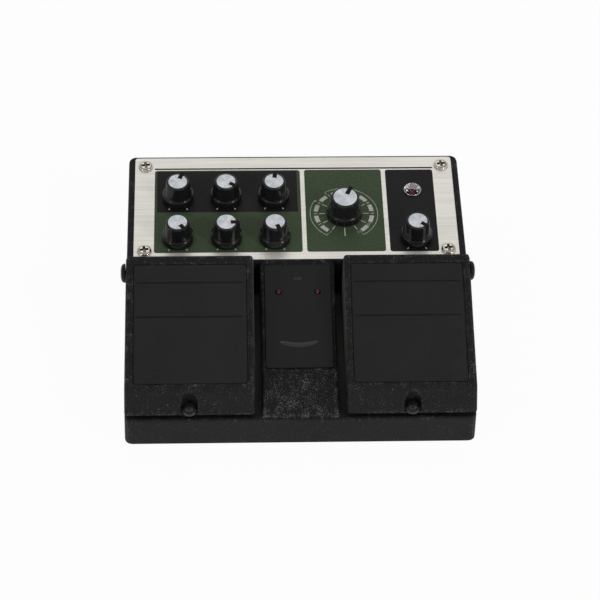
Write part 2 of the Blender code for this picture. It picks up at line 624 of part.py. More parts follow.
def chassis():
    body = body_shell()
    join(body, ridge())
    for side in SIDES:
        join(body, deck(side))
    cut(body, finish("core", body_core()))
    ridge_core = box(-RIDGE_HALF_WIDTH + WALL, RIDGE_HALF_WIDTH - WALL, RIDGE_FRONT_Y + WALL,
                     PANEL_BOX_FRONT_Y + OVERRUN * 2, OVERRUN, RIDGE_REAR_HEIGHT + OVERRUN)
    slice_off(ridge_core, RIDGE @ Vector((0, 0, -COVER_RECESS - WALL)), RIDGE.to_3x3() @ Vector((0, 0, 1)))
    cut(body, finish("ridge_core", ridge_core))
    for side in SIDES:
        x0, x1 = sorted((side * (DECK_INNER_X + WALL), side * (DECK_OUTER_X - WALL)))
        cut(body, finish("deck_core", box(x0, x1, DECK_FRONT_Y + WALL, PANEL_BOX_FRONT_Y + OVERRUN * 2,
                                          OVERRUN, DECK_HEIGHT - WALL)))
        x0, x1 = sorted((side * (BAY_INNER_X - BAY_WALL / 2), side * (BAY_OUTER_X + BAY_WALL)))
        join(body, finish("bay", box(x0, x1, DECK_FRONT_Y + BAY_WALL / 2, BAY_REAR_Y + BAY_WALL,
                                     BAY_FLOOR_HEIGHT - BAY_FLOOR, DECK_HEIGHT - BAY_WALL / 2)))
        x0, x1 = sorted((side * BAY_INNER_X, side * BAY_OUTER_X))
        well = prism(disc(THUMB_HEAD_RADIUS + THUMB_WELL_CLEARANCE + THUMB_WELL_WALL + THUMB_SWING),
                     LIP_HEIGHT + GAP, DECK_HEIGHT + OVERRUN)
        cut(body, finish("well_room", well, None, shift(side * THUMB_X, THUMB_Y, 0)))
        bay = box(x0, x1, BAY_FRONT_Y, BAY_REAR_Y, BAY_FLOOR_HEIGHT, DECK_HEIGHT + OVERRUN)
        cut(body, finish("bay_core", bay))
        for span in ear_spans():
            join(body, ear(side, *span))
        hinge_bore = prism(disc(PIN_RADIUS + PIN_CLEARANCE), DECK_INNER_X - OVERRUN, DECK_OUTER_X + OVERRUN)
        cut(body, finish("hinge_bore", hinge_bore, None, along_x(0, HINGE_Y, HINGE_HEIGHT, side)))
        thumb_anchor(body, side)
        post = prism(disc(SPRING_POST_RADIUS, HOLE_SEGMENTS), DECK_HEIGHT - WALL / 2,
                     DECK_HEIGHT + SPRING_POST_LENGTH)
        join(body, finish("spring_post", post, None, shift(side * COLUMN_X, SPRING_Y, 0)))
    half = PLATE_HALF_WIDTH + GAP
    outline = rounded(-half, half, -GAP, PLATE_LENGTH + GAP, PLATE_CORNER)
    seat = prism(outline, -SEAT_DEPTH, PLATE_RIM + OVERRUN)
    cut(body, finish("seat", seat, None, PANEL))
    add_posts(body)
    add_panel_holes(body)
    add_cover_seat(body)
    add_rear_holes(body)
    return body


def thumb_anchor(body, side):
    """Slot for the thumbscrew and, under it, the tapped block it screws into."""
    front = THUMB_Y - THUMB_SHAFT_RADIUS - THUMB_HOLE_CLEARANCE * 2
    rear = THUMB_Y + THUMB_SHAFT_RADIUS + THUMB_SWING
    half = THUMB_SHAFT_RADIUS + GAP
    x = side * THUMB_X
    block_front = FRONT_FOOT_Y + WALL / 2 + (LIP_TOP_Y - FRONT_FOOT_Y)
    block = box(x - THUMB_BLOCK_HALF_WIDTH, x + THUMB_BLOCK_HALF_WIDTH, block_front, DECK_FRONT_Y + WALL / 2,
                THUMB_BLOCK_BOTTOM, THUMB_BLOCK_TOP)
    join(body, finish("thumb_block", block))
    slot = box(x - half, x + half, front, rear, THUMB_BLOCK_TOP - GAP, LIP_HEIGHT + OVERRUN)
    cut(body, finish("thumb_slot", slot))
    thread = prism(disc(THUMB_SHAFT_RADIUS, HOLE_SEGMENTS), THUMB_BLOCK_BOTTOM - OVERRUN,
                   THUMB_BLOCK_TOP + OVERRUN)
    cut(body, finish("thumb_thread", thread, None, shift(x, THUMB_Y, 0)))


def add_panel_holes(body):
    """Holes for the plate screws, the bushes and the peak light."""
    for x, s in screw_spots():
        hole = prism(disc(SCREW_SHAFT_RADIUS + PLATE_GAP, HOLE_SEGMENTS), -SCREW_LENGTH - OVERRUN, OVERRUN)
        cut(body, finish("screw_hole", hole, None, PANEL @ shift(x, s, 0)))
    for name, x, s in control_spots():
        radius = bush_radius(name) + BUSH_HOLE_CLEARANCE
        hole = prism(disc(radius, SMALL_SEGMENTS), -CAST_TOP_DEPTH - OVERRUN, OVERRUN)
        cut(body, finish("bush_hole", hole, None, PANEL @ shift(x, s, 0)))
    hole = prism(disc(CUP_BARREL_RADIUS + BUSH_HOLE_CLEARANCE), -CAST_TOP_DEPTH - OVERRUN, OVERRUN)
    cut(body, finish("light_hole", hole, None, PANEL @ shift(INPUT_X, LED_CUP_S, 0)))


def add_cover_seat(body):
    """Recess for the centre cover with openings for its lights."""
    outline = rounded(-COVER_HALF_WIDTH - GAP, COVER_HALF_WIDTH + GAP, -COVER_START - COVER_LENGTH - GAP,
                      -COVER_START + GAP, COVER_CORNER, EDGE_SEGMENTS)
    cut(body, finish("cover_seat", prism(outline, -COVER_RECESS, OVERRUN), None, RIDGE))
    half = COVER_HALF_WIDTH - WALL
    low = -COVER_RECESS - WALL - OVERRUN
    window = box(-half, half, -STATUS_LED_S - WALL * 2, -LENS_S + WALL * 2, low, OVERRUN)
    cut(body, finish("cover_window", window, None, RIDGE))


def add_rear_holes(body):
    for x in JACKS.values():
        hole = prism(disc(JACK_BUSH_RADIUS + GAP), -WALL - OVERRUN, OVERRUN)
        cut(body, finish("jack_hole", hole, None, along_y(x, REAR_Y, JACK_HEIGHT)))
    half = DC_WIDTH / 2 + GAP
    cut(body, finish("dc_hole", box(DC_X - half, DC_X + half, REAR_Y - WALL - OVERRUN, REAR_Y + OVERRUN,
                                    JACK_HEIGHT - DC_HEIGHT / 2 - GAP, JACK_HEIGHT + DC_HEIGHT / 2 + GAP)))


def post_spots():
    """Places of the posts, with the height that each one reaches."""
    spots = [(side * SCREW_X, BOTTOM_SCREW_MIDDLE_Y, DECK_HEIGHT - WALL / 2) for side in SIDES]
    for x, s in screw_spots():
        head = PANEL @ Vector((x, s, PANEL_WALL / 2 - CAST_TOP_DEPTH))
        spots.append((x, head.y, head.z))
    return spots


def add_posts(body):
    """Posts between the bottom cover and the deck or the panel, tapped at their ends."""
    low = FOOT_HEIGHT + GAP * 2 + COVER_PLATE_THICKNESS
    for x, y, top in post_spots():
        post = prism(disc(POST_RADIUS, HOLE_SEGMENTS), low, top)
        join(body, finish("post", post, None, shift(x, y, 0)))
        hole = prism(disc(BOTTOM_SCREW_SHAFT, HOLE_SEGMENTS), low - OVERRUN, low + BOTTOM_SCREW_LENGTH)
        cut(body, finish("screw_hole", hole, None, shift(x, y, 0)))


def bottom_cover():
    low = FOOT_HEIGHT + GAP
    outline = rounded(-HALF_WIDTH + WALL + COVER_PLATE_INSET / 2, HALF_WIDTH - WALL - COVER_PLATE_INSET / 2,
                      FRONT_FOOT_Y + WALL + COVER_PLATE_INSET / 2, REAR_Y - WALL - COVER_PLATE_INSET / 2,
                      COVER_PLATE_CORNER)
    plate = finish("bottom_cover", prism(outline, low, low + COVER_PLATE_THICKNESS), STEEL)
    for x, y, _ in post_spots():
        hole = prism(disc(BOTTOM_SCREW_SHAFT + PLATE_GAP, HOLE_SEGMENTS), 0, low + OVERRUN * 2)
        cut(plate, finish("hole", hole, None, shift(x, y, 0)))
    for x, y in standoff_spots():
        stud = prism(disc(STANDOFF_RADIUS, HOLE_SEGMENTS), low + COVER_PLATE_THICKNESS / 2,
                     MAIN_BOARD_HEIGHT - BOARD_THICKNESS - GAP)
        join(plate, finish("stud", stud, None, shift(x, y, 0)))
    return plate


def standoff_spots():
    front = PANEL_BOX_FRONT_Y + WALL + BOARD_MARGIN + STANDOFF_INSET
    rear = REAR_Y - WALL - BOARD_MARGIN - STANDOFF_INSET
    return [(side * STANDOFF_X, y) for side in SIDES for y in (front, rear)]


def rubber_base():
    """Rubber sheet that the pedal stands on, with round cut-outs over the screws."""
    inset = WALL + COVER_PLATE_INSET + BASE_SHEET_MARGIN
    outline = rounded(-HALF_WIDTH + inset, HALF_WIDTH - inset, FRONT_FOOT_Y + inset, REAR_Y - inset,
                      BASE_SHEET_CORNER)
    top = FOOT_HEIGHT + GAP / 2
    bm = prism(outline, 0, top)
    soften(bm, BASE_SHEET_EDGE, 1, lambda e: e.verts[0].co.z < top / 2 and e.verts[1].co.z < top / 2)
    sheet = finish("rubber_base", bm, RUBBER)
    for x, y, _ in post_spots():
        hole = prism(disc(BOTTOM_SCREW_ACCESS, HOLE_SEGMENTS), -OVERRUN, OVERRUN + top)
        cut(sheet, finish("hole", hole, None, shift(x, y, 0)))
    return sheet


def control_plate():
    outline = rounded(-PLATE_HALF_WIDTH, PLATE_HALF_WIDTH, 0, PLATE_LENGTH, PLATE_CORNER)
    plate = finish("control_plate", prism(outline, -PLATE_THICKNESS, 0), SHEET, PANEL)
    for x, s in screw_spots():
        hole = prism(disc(SCREW_SHAFT_RADIUS + PLATE_GAP, HOLE_SEGMENTS), -OVERRUN, OVERRUN)
        cut(plate, finish("hole", hole, None, PANEL @ shift(x, s, 0)))
    for name, x, s in control_spots():
        hole = prism(disc(bush_radius(name) + BUSH_HOLE_CLEARANCE, SMALL_SEGMENTS), -OVERRUN, OVERRUN)
        cut(plate, finish("hole", hole, None, PANEL @ shift(x, s, 0)))
    hole = prism(disc(CUP_BARREL_RADIUS + BUSH_HOLE_CLEARANCE), -OVERRUN, OVERRUN)
    cut(plate, finish("hole", hole, None, PANEL @ shift(INPUT_X, LED_CUP_S, 0)))
    return plate


def cross_screw(name, frame):
    """Pan-head screw with a cross recess."""
    lift = GAP / 3
    outline = [(0, -SCREW_LENGTH), (SCREW_SHAFT_RADIUS, -SCREW_LENGTH), (SCREW_SHAFT_RADIUS, lift),
               (SCREW_HEAD_RADIUS, lift), (SCREW_HEAD_RADIUS * 0.95, lift + SCREW_HEAD_HEIGHT * 0.45),
               (SCREW_HEAD_RADIUS * 0.72, lift + SCREW_HEAD_HEIGHT * 0.85),
               (SCREW_HEAD_RADIUS * 0.35, lift + SCREW_HEAD_HEIGHT), (0, lift + SCREW_HEAD_HEIGHT)]
    screw = finish(name, lathe(outline, SMALL_SEGMENTS), CHROME, frame)
    for turn in (45, 135):
        arm = box(-CROSS_SPAN / 2, CROSS_SPAN / 2, -CROSS_WIDTH / 2, CROSS_WIDTH / 2,
                  lift + SCREW_HEAD_HEIGHT - CROSS_DEPTH, lift + SCREW_HEAD_HEIGHT + OVERRUN)
        cut(screw, finish("arm", arm, None, frame @ Matrix.Rotation(turn * DEG, 4, "Z")))
    return screw


def plate_screws():
    for row, s in (("front", SCREW_FRONT_S), ("rear", SCREW_REAR_S)):
        for side in SIDES:
            cross_screw(f"plate_screw_{row}_{SIDE_NAMES[side]}", PANEL @ shift(side * SCREW_X, s, 0))


def knob_profile(top_radius, skirt_radius):
    """Rim round the cap, straight side and full-shouldered skirt, hollow below, with a blind shaft bore."""
    rise = KNOB_TOP - KNOB_LIFT
    flare = skirt_radius - top_radius
    bore = SHAFT_RADIUS + SHAFT_CLEARANCE
    cap = top_radius - KNOB_RIM
    return [
        (bore, KNOB_LIFT + KNOB_HOLLOW), (bore, SHAFT_TOP + GAP), (0, SHAFT_TOP + GAP),
        (0, KNOB_TOP - KNOB_CAP_RECESS), (cap, KNOB_TOP - KNOB_CAP_RECESS),
        (cap, KNOB_TOP), (top_radius, KNOB_TOP - KNOB_RIM_DROP),
        (top_radius + flare * 0.36, KNOB_LIFT + rise * 0.52),
        (top_radius + flare * 0.62, KNOB_LIFT + rise * 0.36),
        (top_radius + flare * 0.92, KNOB_LIFT + rise * 0.26), (skirt_radius, KNOB_LIFT + rise * 0.17),
        (skirt_radius, KNOB_LIFT),
        (skirt_radius - KNOB_WALL, KNOB_LIFT),
        (top_radius + flare * 0.58 - KNOB_WALL, KNOB_LIFT + KNOB_HOLLOW),
    ]


def knob(name, x, s):
    """Knob, its turned cap and the shaft that it is pressed on, on one axis."""
    top = MODE_TOP_RADIUS if name == "mode" else KNOB_TOP_RADIUS
    skirt = MODE_SKIRT_RADIUS if name == "mode" else KNOB_SKIRT_RADIUS
    frame = PANEL @ shift(x, s, 0) @ Matrix.Rotation(-POINTER_ANGLES[name] * DEG, 4, "Z")
    body = finish(f"knob_{name}", lathe(knob_profile(top, skirt), KNOB_SEGMENTS), KNOB_BLACK, frame)
    reach = top - KNOB_RIM - KNOB_CAP_GAP
    notch = reach * POINTER_LENGTH_SHARE
    half = POINTER_WIDTH / 2
    low = KNOB_TOP - KNOB_CAP_RECESS
    bar = box(-half, half, notch, top - POINTER_SET_BACK, low - GAP, low + KNOB_CAP_THICKNESS)
    join(body, finish("bar", bar, None, frame))
    cap = finish(f"cap_{name}", prism(disc(reach, KNOB_SEGMENTS), low + GAP / 3, low + KNOB_CAP_THICKNESS),
                 KNOB_SILVER, frame)
    side = half + POINTER_GAP
    slot = box(-side, side, notch - POINTER_GAP, top + OVERRUN, 0, KNOB_TOP + OVERRUN)
    cut(cap, finish("slot", slot, None, frame))
    shaft = prism(disc(SHAFT_RADIUS, HOLE_SEGMENTS), -SHAFT_DEPTH, SHAFT_TOP)
    finish(f"shaft_{name}", shaft, BRASS, frame)
    return body


def control_solid(name):
    """Round control body with a threaded bush that comes up through the panel."""
    is_mode = name == "mode"
    body_radius = MODE_SWITCH_RADIUS if is_mode else POT_RADIUS
    bottom = -POT_TOP_DEPTH - (MODE_SWITCH_HEIGHT if is_mode else POT_HEIGHT)
    bore = SHAFT_RADIUS + SHAFT_CLEARANCE
    outline = [(0, bottom), (body_radius, bottom), (body_radius, -POT_TOP_DEPTH),
               (bush_radius(name), -POT_TOP_DEPTH), (bush_radius(name), BUSH_TOP), (bore, BUSH_TOP),
               (bore, -SHAFT_DEPTH - GAP), (0, -SHAFT_DEPTH - GAP)]
    return lathe(outline, HOLE_SEGMENTS)


def panel_board():
    """Board under the controls with the seven potentiometers and the mode switch soldered on."""
    top = -POT_TOP_DEPTH - POT_HEIGHT + BOARD_SOLDER_DEPTH
    wide = SCREW_X - POST_RADIUS - BOARD_MARGIN
    outline = rounded(-wide, wide, KNOB_FRONT_ROW - POT_RADIUS, KNOB_REAR_ROW + POT_RADIUS, PLATE_CORNER)
    board = finish("panel_board", prism(outline, top - BOARD_THICKNESS, top), BOARD, PANEL)
    for name, x, s in control_spots():
        join(board, finish("control", control_solid(name), None, PANEL @ shift(x, s, 0)))
    return board


def peak_light():
    frame = PANEL @ shift(INPUT_X, LED_CUP_S, 0)
    lift = GAP / 3
    outline = [(CUP_BARREL_RADIUS, -CUP_DEPTH), (CUP_BARREL_RADIUS, lift), (CUP_RADIUS, lift),
               (CUP_RADIUS, CUP_RIM * 0.6), (CUP_RADIUS * 0.93, CUP_RIM), (CUP_RADIUS * 0.84, CUP_RIM),
               (CUP_THROAT_RADIUS, -CUP_THROAT_DEPTH), (CUP_THROAT_RADIUS, -CUP_DEPTH)]
    finish("peak_led_cup", lathe(outline, ROUND_SEGMENTS), CHROME, frame)
    led = led_solid(-CUP_DEPTH)
    finish("peak_led", led, RED, frame)


def led_solid(bottom):
    """Round light with a domed end."""
    r = LED_RADIUS
    straight = bottom + LED_HEIGHT - r
    dome = [(r * math.cos(a * DEG), straight + r * math.sin(a * DEG)) for a in (0, 30, 60)]
    return lathe([(0, bottom), (r, bottom)] + dome + [(0, straight + r)], HOLE_SEGMENTS)


def centre_cover():
    outline = rounded(-COVER_HALF_WIDTH, COVER_HALF_WIDTH, -COVER_START - COVER_LENGTH, -COVER_START,
                      COVER_CORNER, EDGE_SEGMENTS)
    low = -COVER_RECESS + GAP
    cover = finish("centre_cover", prism(outline, low, low + COVER_THICKNESS), SMOKE, RIDGE)
    for side in SIDES:
        hole = prism(disc(LED_RADIUS + PIN_CLEARANCE, 16), low - OVERRUN, OVERRUN)
        cut(cover, finish("hole", hole, None, RIDGE @ shift(side * STATUS_LED_X, -STATUS_LED_S, 0)))
    half_w = LENS_WIDTH / 2 + PIN_CLEARANCE
    half_l = LENS_LENGTH / 2 + PIN_CLEARANCE
    hole = box(-half_w, half_w, -LENS_S - half_l, -LENS_S + half_l, low - OVERRUN, OVERRUN)
    cut(cover, finish("hole", hole, None, RIDGE))
    cut(cover, finish("grip", grip_groove(low + COVER_THICKNESS), None, RIDGE))
    return cover


def grip_groove(top):
    """Crescent finger groove: two arcs that meet in points."""
    def arc(sag, steps=8):
        return [(GRIP_HALF_WIDTH * (2 * i / steps - 1), -GRIP_S - sag * (1 - (2 * i / steps - 1) ** 2))
                for i in range(steps + 1)]
    outline = arc(GRIP_SAG + GRIP_WIDTH / 2) + arc(GRIP_SAG - GRIP_WIDTH / 2)[-2:0:-1]
    return prism(outline, top - GRIP_DEPTH, top + OVERRUN)


def cover_lights():
    low = -COVER_RECESS + GAP + COVER_THICKNESS - LENS_DEPTH
    lens = box(-LENS_WIDTH / 2, LENS_WIDTH / 2, -LENS_S - LENS_LENGTH / 2, -LENS_S + LENS_LENGTH / 2,
               low, low + LENS_DEPTH)
    finish("power_lens", lens, LENS, RIDGE)
    bottom = -COVER_RECESS - LED_HEIGHT + COVER_THICKNESS + LED_RADIUS
    for side in SIDES:
        finish(f"status_led_{SIDE_NAMES[side]}", led_solid(bottom), RED,
               RIDGE @ shift(side * STATUS_LED_X, -STATUS_LED_S, 0))


def treadle(side):
    """Cast treadle: sloped top, steep apron, side skirts, hollow underneath."""
    name = SIDE_NAMES[side]
    bm = box(TREAD_INNER_X, HALF_WIDTH, FRONT_FOOT_Y, TREAD_REAR_Y, TREAD_BOTTOM, TREAD_REAR_HEIGHT + OVERRUN)
    top_normal = (0, -math.sin(TREAD_SLOPE), math.cos(TREAD_SLOPE))
    apron_normal = (0, -math.sin(APRON_SLOPE), math.cos(APRON_SLOPE))
    slice_off(bm, (0, TREAD_REAR_Y, TREAD_REAR_HEIGHT), top_normal)
    slice_off(bm, (0, TREAD_FRONT_Y, TREAD_BOTTOM), apron_normal)
    soften(bm, TREAD_EDGE, EDGE_SEGMENTS, lambda e: all(f.normal.z > -0.9 for f in e.link_faces))
    draft(bm, TREAD_INNER_X)
    core = box(TREAD_INNER_X + TREAD_SIDE_WALL, HALF_WIDTH - TREAD_SIDE_WALL, FRONT_FOOT_Y,
               TREAD_REAR_Y - TREAD_SIDE_WALL, TREAD_BOTTOM - OVERRUN, TREAD_REAR_HEIGHT)
    slice_off(core, (0, TREAD_REAR_Y, TREAD_REAR_HEIGHT - TREAD_DROP), top_normal)
    back = TREAD_SIDE_WALL / math.sin(APRON_SLOPE)
    slice_off(core, (0, TREAD_FRONT_Y + back, TREAD_BOTTOM), apron_normal)
    draft(core, TREAD_INNER_X)
    if side < 0:
        for mesh in (bm, core):
            bmesh.ops.scale(mesh, verts=mesh.verts, vec=(-1, 1, 1))
    shell = finish(f"treadle_{name}", bm, CAST)
    core = finish("tread_core", core)
    x = side * THUMB_X
    well = THUMB_HEAD_RADIUS + THUMB_WELL_CLEARANCE
    boss = prism(disc(well + THUMB_WELL_WALL), TREAD_BOTTOM - OVERRUN * 2, TREAD_REAR_HEIGHT)
    cut(core, finish("boss", boss, None, shift(x, THUMB_Y, 0)))
    seat = prism(disc(SPRING_SEAT_RADIUS), SPRING_SEAT_HEIGHT, TREAD_REAR_HEIGHT)
    cut(core, finish("boss", seat, None, shift(side * COLUMN_X, SPRING_Y, 0)))
    post = prism(disc(SPRING_POST_RADIUS, HOLE_SEGMENTS), SPRING_SEAT_HEIGHT - SPRING_POST_LENGTH,
                 TREAD_REAR_HEIGHT)
    cut(core, finish("boss", post, None, shift(side * COLUMN_X, SPRING_Y, 0)))
    pusher = prism(disc(PUSHER_RADIUS, HOLE_SEGMENTS), PLUNGER_TOP + GAP, TREAD_REAR_HEIGHT)
    cut(core, finish("boss", pusher, None, shift(side * COLUMN_X, SWITCH_Y, 0)))
    for share in RIB_SHARES:
        y = TREAD_REAR_Y + share * (TREAD_FOLD_Y - TREAD_REAR_Y)
        z = TREAD_REAR_HEIGHT - (TREAD_REAR_Y - y) * math.tan(TREAD_SLOPE) - TREAD_DROP - RIB_DEPTH
        x0, x1 = sorted((side * TREAD_INNER_X, side * HALF_WIDTH))
        rib = box(x0, x1, y - RIB_THICKNESS / 2, y + RIB_THICKNESS / 2, z, TREAD_REAR_HEIGHT)
        cut(core, finish("rib", rib))
    cut(shell, core)
    add_tread_openings(shell, side, x, well)
    return shell


def add_tread_openings(shell, side, x, well):
    recess = prism(pad_outline(side, GAP), -PAD_DEPTH, OVERRUN)
    cut(shell, finish("pad_recess", recess, None, TREAD))
    cut(shell, finish("well", prism(disc(well), THUMB_SEAT, TREAD_REAR_HEIGHT), None, shift(x, THUMB_Y, 0)))
    hole = prism(disc(THUMB_SHAFT_RADIUS + THUMB_HOLE_CLEARANCE, HOLE_SEGMENTS), 0, TREAD_REAR_HEIGHT)
    cut(shell, finish("hole", hole, None, shift(x, THUMB_Y, 0)))
    rear = TREAD_REAR_Y + OVERRUN
    x0, x1 = sorted((side * (TREAD_INNER_X + TREAD_SIDE_WALL), side * (HALF_WIDTH - OVERRUN * 2)))
    cut(shell, finish("rear_cut", box(x0, x1, TREAD_REAR_Y - TREAD_SIDE_WALL - GAP, rear,
                                      TREAD_BOTTOM - OVERRUN, TREAD_REAR_WALL_BOTTOM)))
    notch_top = HINGE_HEIGHT + EAR_RADIUS
    for inner, outer in ear_spans():
        x0, x1 = sorted((side * (inner - GAP * 2), side * (outer + GAP * 2)))
        cut(shell, finish("ear_notch", box(x0, x1, TREAD_REAR_Y - TREAD_SIDE_WALL - GAP, rear,
                                           TREAD_BOTTOM - OVERRUN, notch_top)))
    bore = prism(disc(PIN_RADIUS + PIN_CLEARANCE), 0, HALF_WIDTH + OVERRUN)
    cut(shell, finish("bore", bore, None, along_x(0, HINGE_Y, HINGE_HEIGHT, side)))


def pad_outline(side, grow):
    inner = TREAD_INNER_X + PAD_MARGIN_SIDE - grow
    outer = side_x(TREAD_FOLD_HEIGHT) - PAD_MARGIN_SIDE - TREAD_EDGE / 2 + grow
    x0, x1 = sorted((side * inner, side * outer))
    front = -PAD_REAR_OFFSET - PAD_LENGTH - grow
    return rounded(x0, x1, front, -PAD_REAR_OFFSET + grow, PAD_CORNER, EDGE_SEGMENTS)


def tread_pad(side):
    """Rubber pad with two cross grooves and a bevelled edge."""
    low = -PAD_DEPTH + GAP / 2
    bm = prism(pad_outline(side, 0), low, low + PAD_THICKNESS)
    soften(bm, PAD_BEVEL, 1, lambda e: any(f.normal.z > 0.9 for f in e.link_faces)
           and not all(f.normal.z > 0.9 for f in e.link_faces))
    pad = finish(f"tread_pad_{SIDE_NAMES[side]}", bm, RUBBER, TREAD)
    x0, x1 = sorted((side * TREAD_INNER_X, side * (HALF_WIDTH + OVERRUN)))
    for offset in PAD_GROOVES:
        y = -PAD_REAR_OFFSET - offset
        groove = box(x0, x1, y - PAD_GROOVE_WIDTH / 2, y + PAD_GROOVE_WIDTH / 2,
                     low + PAD_THICKNESS - PAD_GROOVE_DEPTH, low + PAD_THICKNESS + OVERRUN)
        cut(pad, finish("groove", groove, None, TREAD))
    return pad


def hinge_pin(side):
    """Long pin through both ears, with a domed head and a round socket at its outer end."""
    skin = side_x(HINGE_HEIGHT) + GAP
    inner_end = TREAD_INNER_X + GAP
    head = BOLT_HEAD_RADIUS
    outline = [(0, inner_end), (PIN_RADIUS, inner_end), (PIN_RADIUS, skin), (head, skin),
               (head, skin + BOLT_HEAD_RIM), (head * 0.82, skin + BOLT_HEAD_HEIGHT * 0.85),
               (head * 0.5, skin + BOLT_HEAD_HEIGHT), (BOLT_SOCKET_RADIUS, skin + BOLT_HEAD_HEIGHT),
               (BOLT_SOCKET_RADIUS, skin + BOLT_HEAD_HEIGHT - BOLT_SOCKET_DEPTH),
               (0, skin + BOLT_HEAD_HEIGHT - BOLT_SOCKET_DEPTH)]
    return finish(f"hinge_pin_{SIDE_NAMES[side]}", lathe(outline, SMALL_SEGMENTS), STEEL,
                  along_x(0, HINGE_Y, HINGE_HEIGHT, side))


def thumbscrew(side):
    """Captive screw: low domed head with a coin slot, shaft and a cone tip."""
    seat = GAP / 2
    tip = LIP_HEIGHT - THUMB_REACH - THUMB_SEAT
    rim = seat + THUMB_HEAD_RIM
    r = THUMB_HEAD_RADIUS
    outline = [(0, tip), (THUMB_TIP_RADIUS, tip), (THUMB_SHAFT_RADIUS, tip + THUMB_TIP_LENGTH),
               (THUMB_SHAFT_RADIUS, seat), (r, seat), (r, rim), (r * 0.7, rim + THUMB_HEAD_DOME * 0.6),
               (0, rim + THUMB_HEAD_DOME)]
    frame = shift(side * THUMB_X, THUMB_Y, THUMB_SEAT)
    screw = finish(f"thumbscrew_{SIDE_NAMES[side]}", lathe(outline, ROUND_SEGMENTS), KNOB_BLACK, frame)
    half = THUMB_SLOT_WIDTH / 2
    slot = box(-r * 0.6, r * 0.6, -half, half, rim + THUMB_HEAD_DOME - THUMB_SLOT_DEPTH, rim + OVERRUN)
    cut(screw, finish("slot", slot, None, frame))
    return screw


def press_spring(side):
    """Return spring, one unbroken wire wound about its post."""
    low = DECK_HEIGHT + SPRING_WIRE_RADIUS + GAP
    high = SPRING_SEAT_HEIGHT - SPRING_WIRE_RADIUS - GAP
    curve = bpy.data.curves.new("spring", "CURVE")
    curve.dimensions = "3D"
    curve.bevel_depth = SPRING_WIRE_RADIUS
    curve.bevel_resolution = 1
    curve.use_fill_caps = True
    line = curve.splines.new("POLY")
    count = int(SPRING_TURNS * SPRING_STEPS)
    line.points.add(count)
    for i in range(count + 1):
        turn = i / SPRING_STEPS
        share = min(max((turn - 1) / (SPRING_TURNS - 2), 0), 1)
        rest = 2 * SPRING_WIRE_RADIUS + GAP
        base = low + rest * min(turn, 1)
        end = (high - low - 2 * rest) * share + rest * max(turn - SPRING_TURNS + 1, 0)
        angle = 2 * math.pi * turn
        x = side * COLUMN_X + SPRING_RADIUS * math.cos(angle)
        line.points[i].co = (x, SPRING_Y + SPRING_RADIUS * math.sin(angle), base + end, 1)
    wire = bpy.data.objects.new("wire", curve)
    bpy.context.scene.collection.objects.link(wire)
    bpy.context.view_layer.update()
    graph = bpy.context.evaluated_depsgraph_get()
    mesh = bpy.data.meshes.new_from_object(wire.evaluated_get(graph))
    bpy.data.objects.remove(wire)
    bm = bmesh.new()
    bm.from_mesh(mesh)
    return finish(f"press_spring_{SIDE_NAMES[side]}", bm, STEEL)


def foot_switches():
    """Push switches on the decks, and the plungers that the treadles press."""
    base = DECK_HEIGHT + GAP
    for side in SIDES:
        bore = PLUNGER_RADIUS + PLUNGER_CLEARANCE
        top = base + SWITCH_HEIGHT
        frame = shift(side * COLUMN_X, SWITCH_Y, 0)
        case = box(-SWITCH_HALF, SWITCH_HALF, -SWITCH_HALF, SWITCH_HALF, base, top)
        body = finish(f"foot_switch_{SIDE_NAMES[side]}", case, PLASTIC, frame)
        hole = prism(disc(bore, HOLE_SEGMENTS), top - SWITCH_BORE_DEPTH, top + OVERRUN)
        cut(body, finish("hole", hole, None, frame))
        plunger = prism(disc(PLUNGER_RADIUS, HOLE_SEGMENTS), -PLUNGER_LENGTH, 0)
        raised = shift(side * COLUMN_X, SWITCH_Y, PLUNGER_TOP)
        finish(f"switch_plunger_{SIDE_NAMES[side]}", plunger, PLASTIC, raised)


def jacks():
    """Quarter-inch jacks: moulded body, threaded bush through the rear wall, open bore."""
    top = -WALL - GAP
    for name, x in JACKS.items():
        frame = along_y(x, REAR_Y, JACK_HEIGHT)
        half_w = JACK_BODY_WIDTH / 2
        half_h = JACK_BODY_HEIGHT / 2
        case = box(-half_w, half_w, -half_h, half_h, top - JACK_BODY_LENGTH, top)
        jack = finish(name, case, PLASTIC, frame)
        bush = prism(disc(JACK_BUSH_RADIUS), top - WALL, top + JACK_BUSH_LENGTH)
        join(jack, finish("bush", bush, None, frame))
        mouth = top + JACK_BUSH_LENGTH
        bore = prism(disc(JACK_BORE_RADIUS), mouth - JACK_BORE_DEPTH, mouth + OVERRUN)
        cut(jack, finish("bore", bore, None, frame))


def dc_inlet():
    frame = along_y(DC_X, REAR_Y - DC_FACE_SET_BACK, JACK_HEIGHT)
    solid = finish("dc_inlet", box(-DC_WIDTH / 2, DC_WIDTH / 2, -DC_HEIGHT / 2, DC_HEIGHT / 2, -DC_LENGTH, 0),
                   PLASTIC, frame)
    cut(solid, finish("well", prism(disc(DC_BORE_RADIUS), -DC_BORE_DEPTH, OVERRUN), None, frame))
    pin = prism(disc(DC_PIN_RADIUS, 8), -DC_BORE_DEPTH - WALL, -DC_PIN_SET_BACK)
    return join(solid, finish("pin", pin, None, frame))


def main_board():
    """Main board on the studs of the bottom cover."""
    wide = SCREW_X - POST_RADIUS - BOARD_MARGIN
    margin = WALL + BOARD_MARGIN
    outline = rounded(-wide, wide, PANEL_BOX_FRONT_Y + margin, REAR_Y - margin, PLATE_CORNER)
    return finish("main_board", prism(outline, MAIN_BOARD_HEIGHT - BOARD_THICKNESS, MAIN_BOARD_HEIGHT), BOARD)


def clear_scene():
    for piece in list(bpy.data.objects):
        bpy.data.objects.remove(piece)


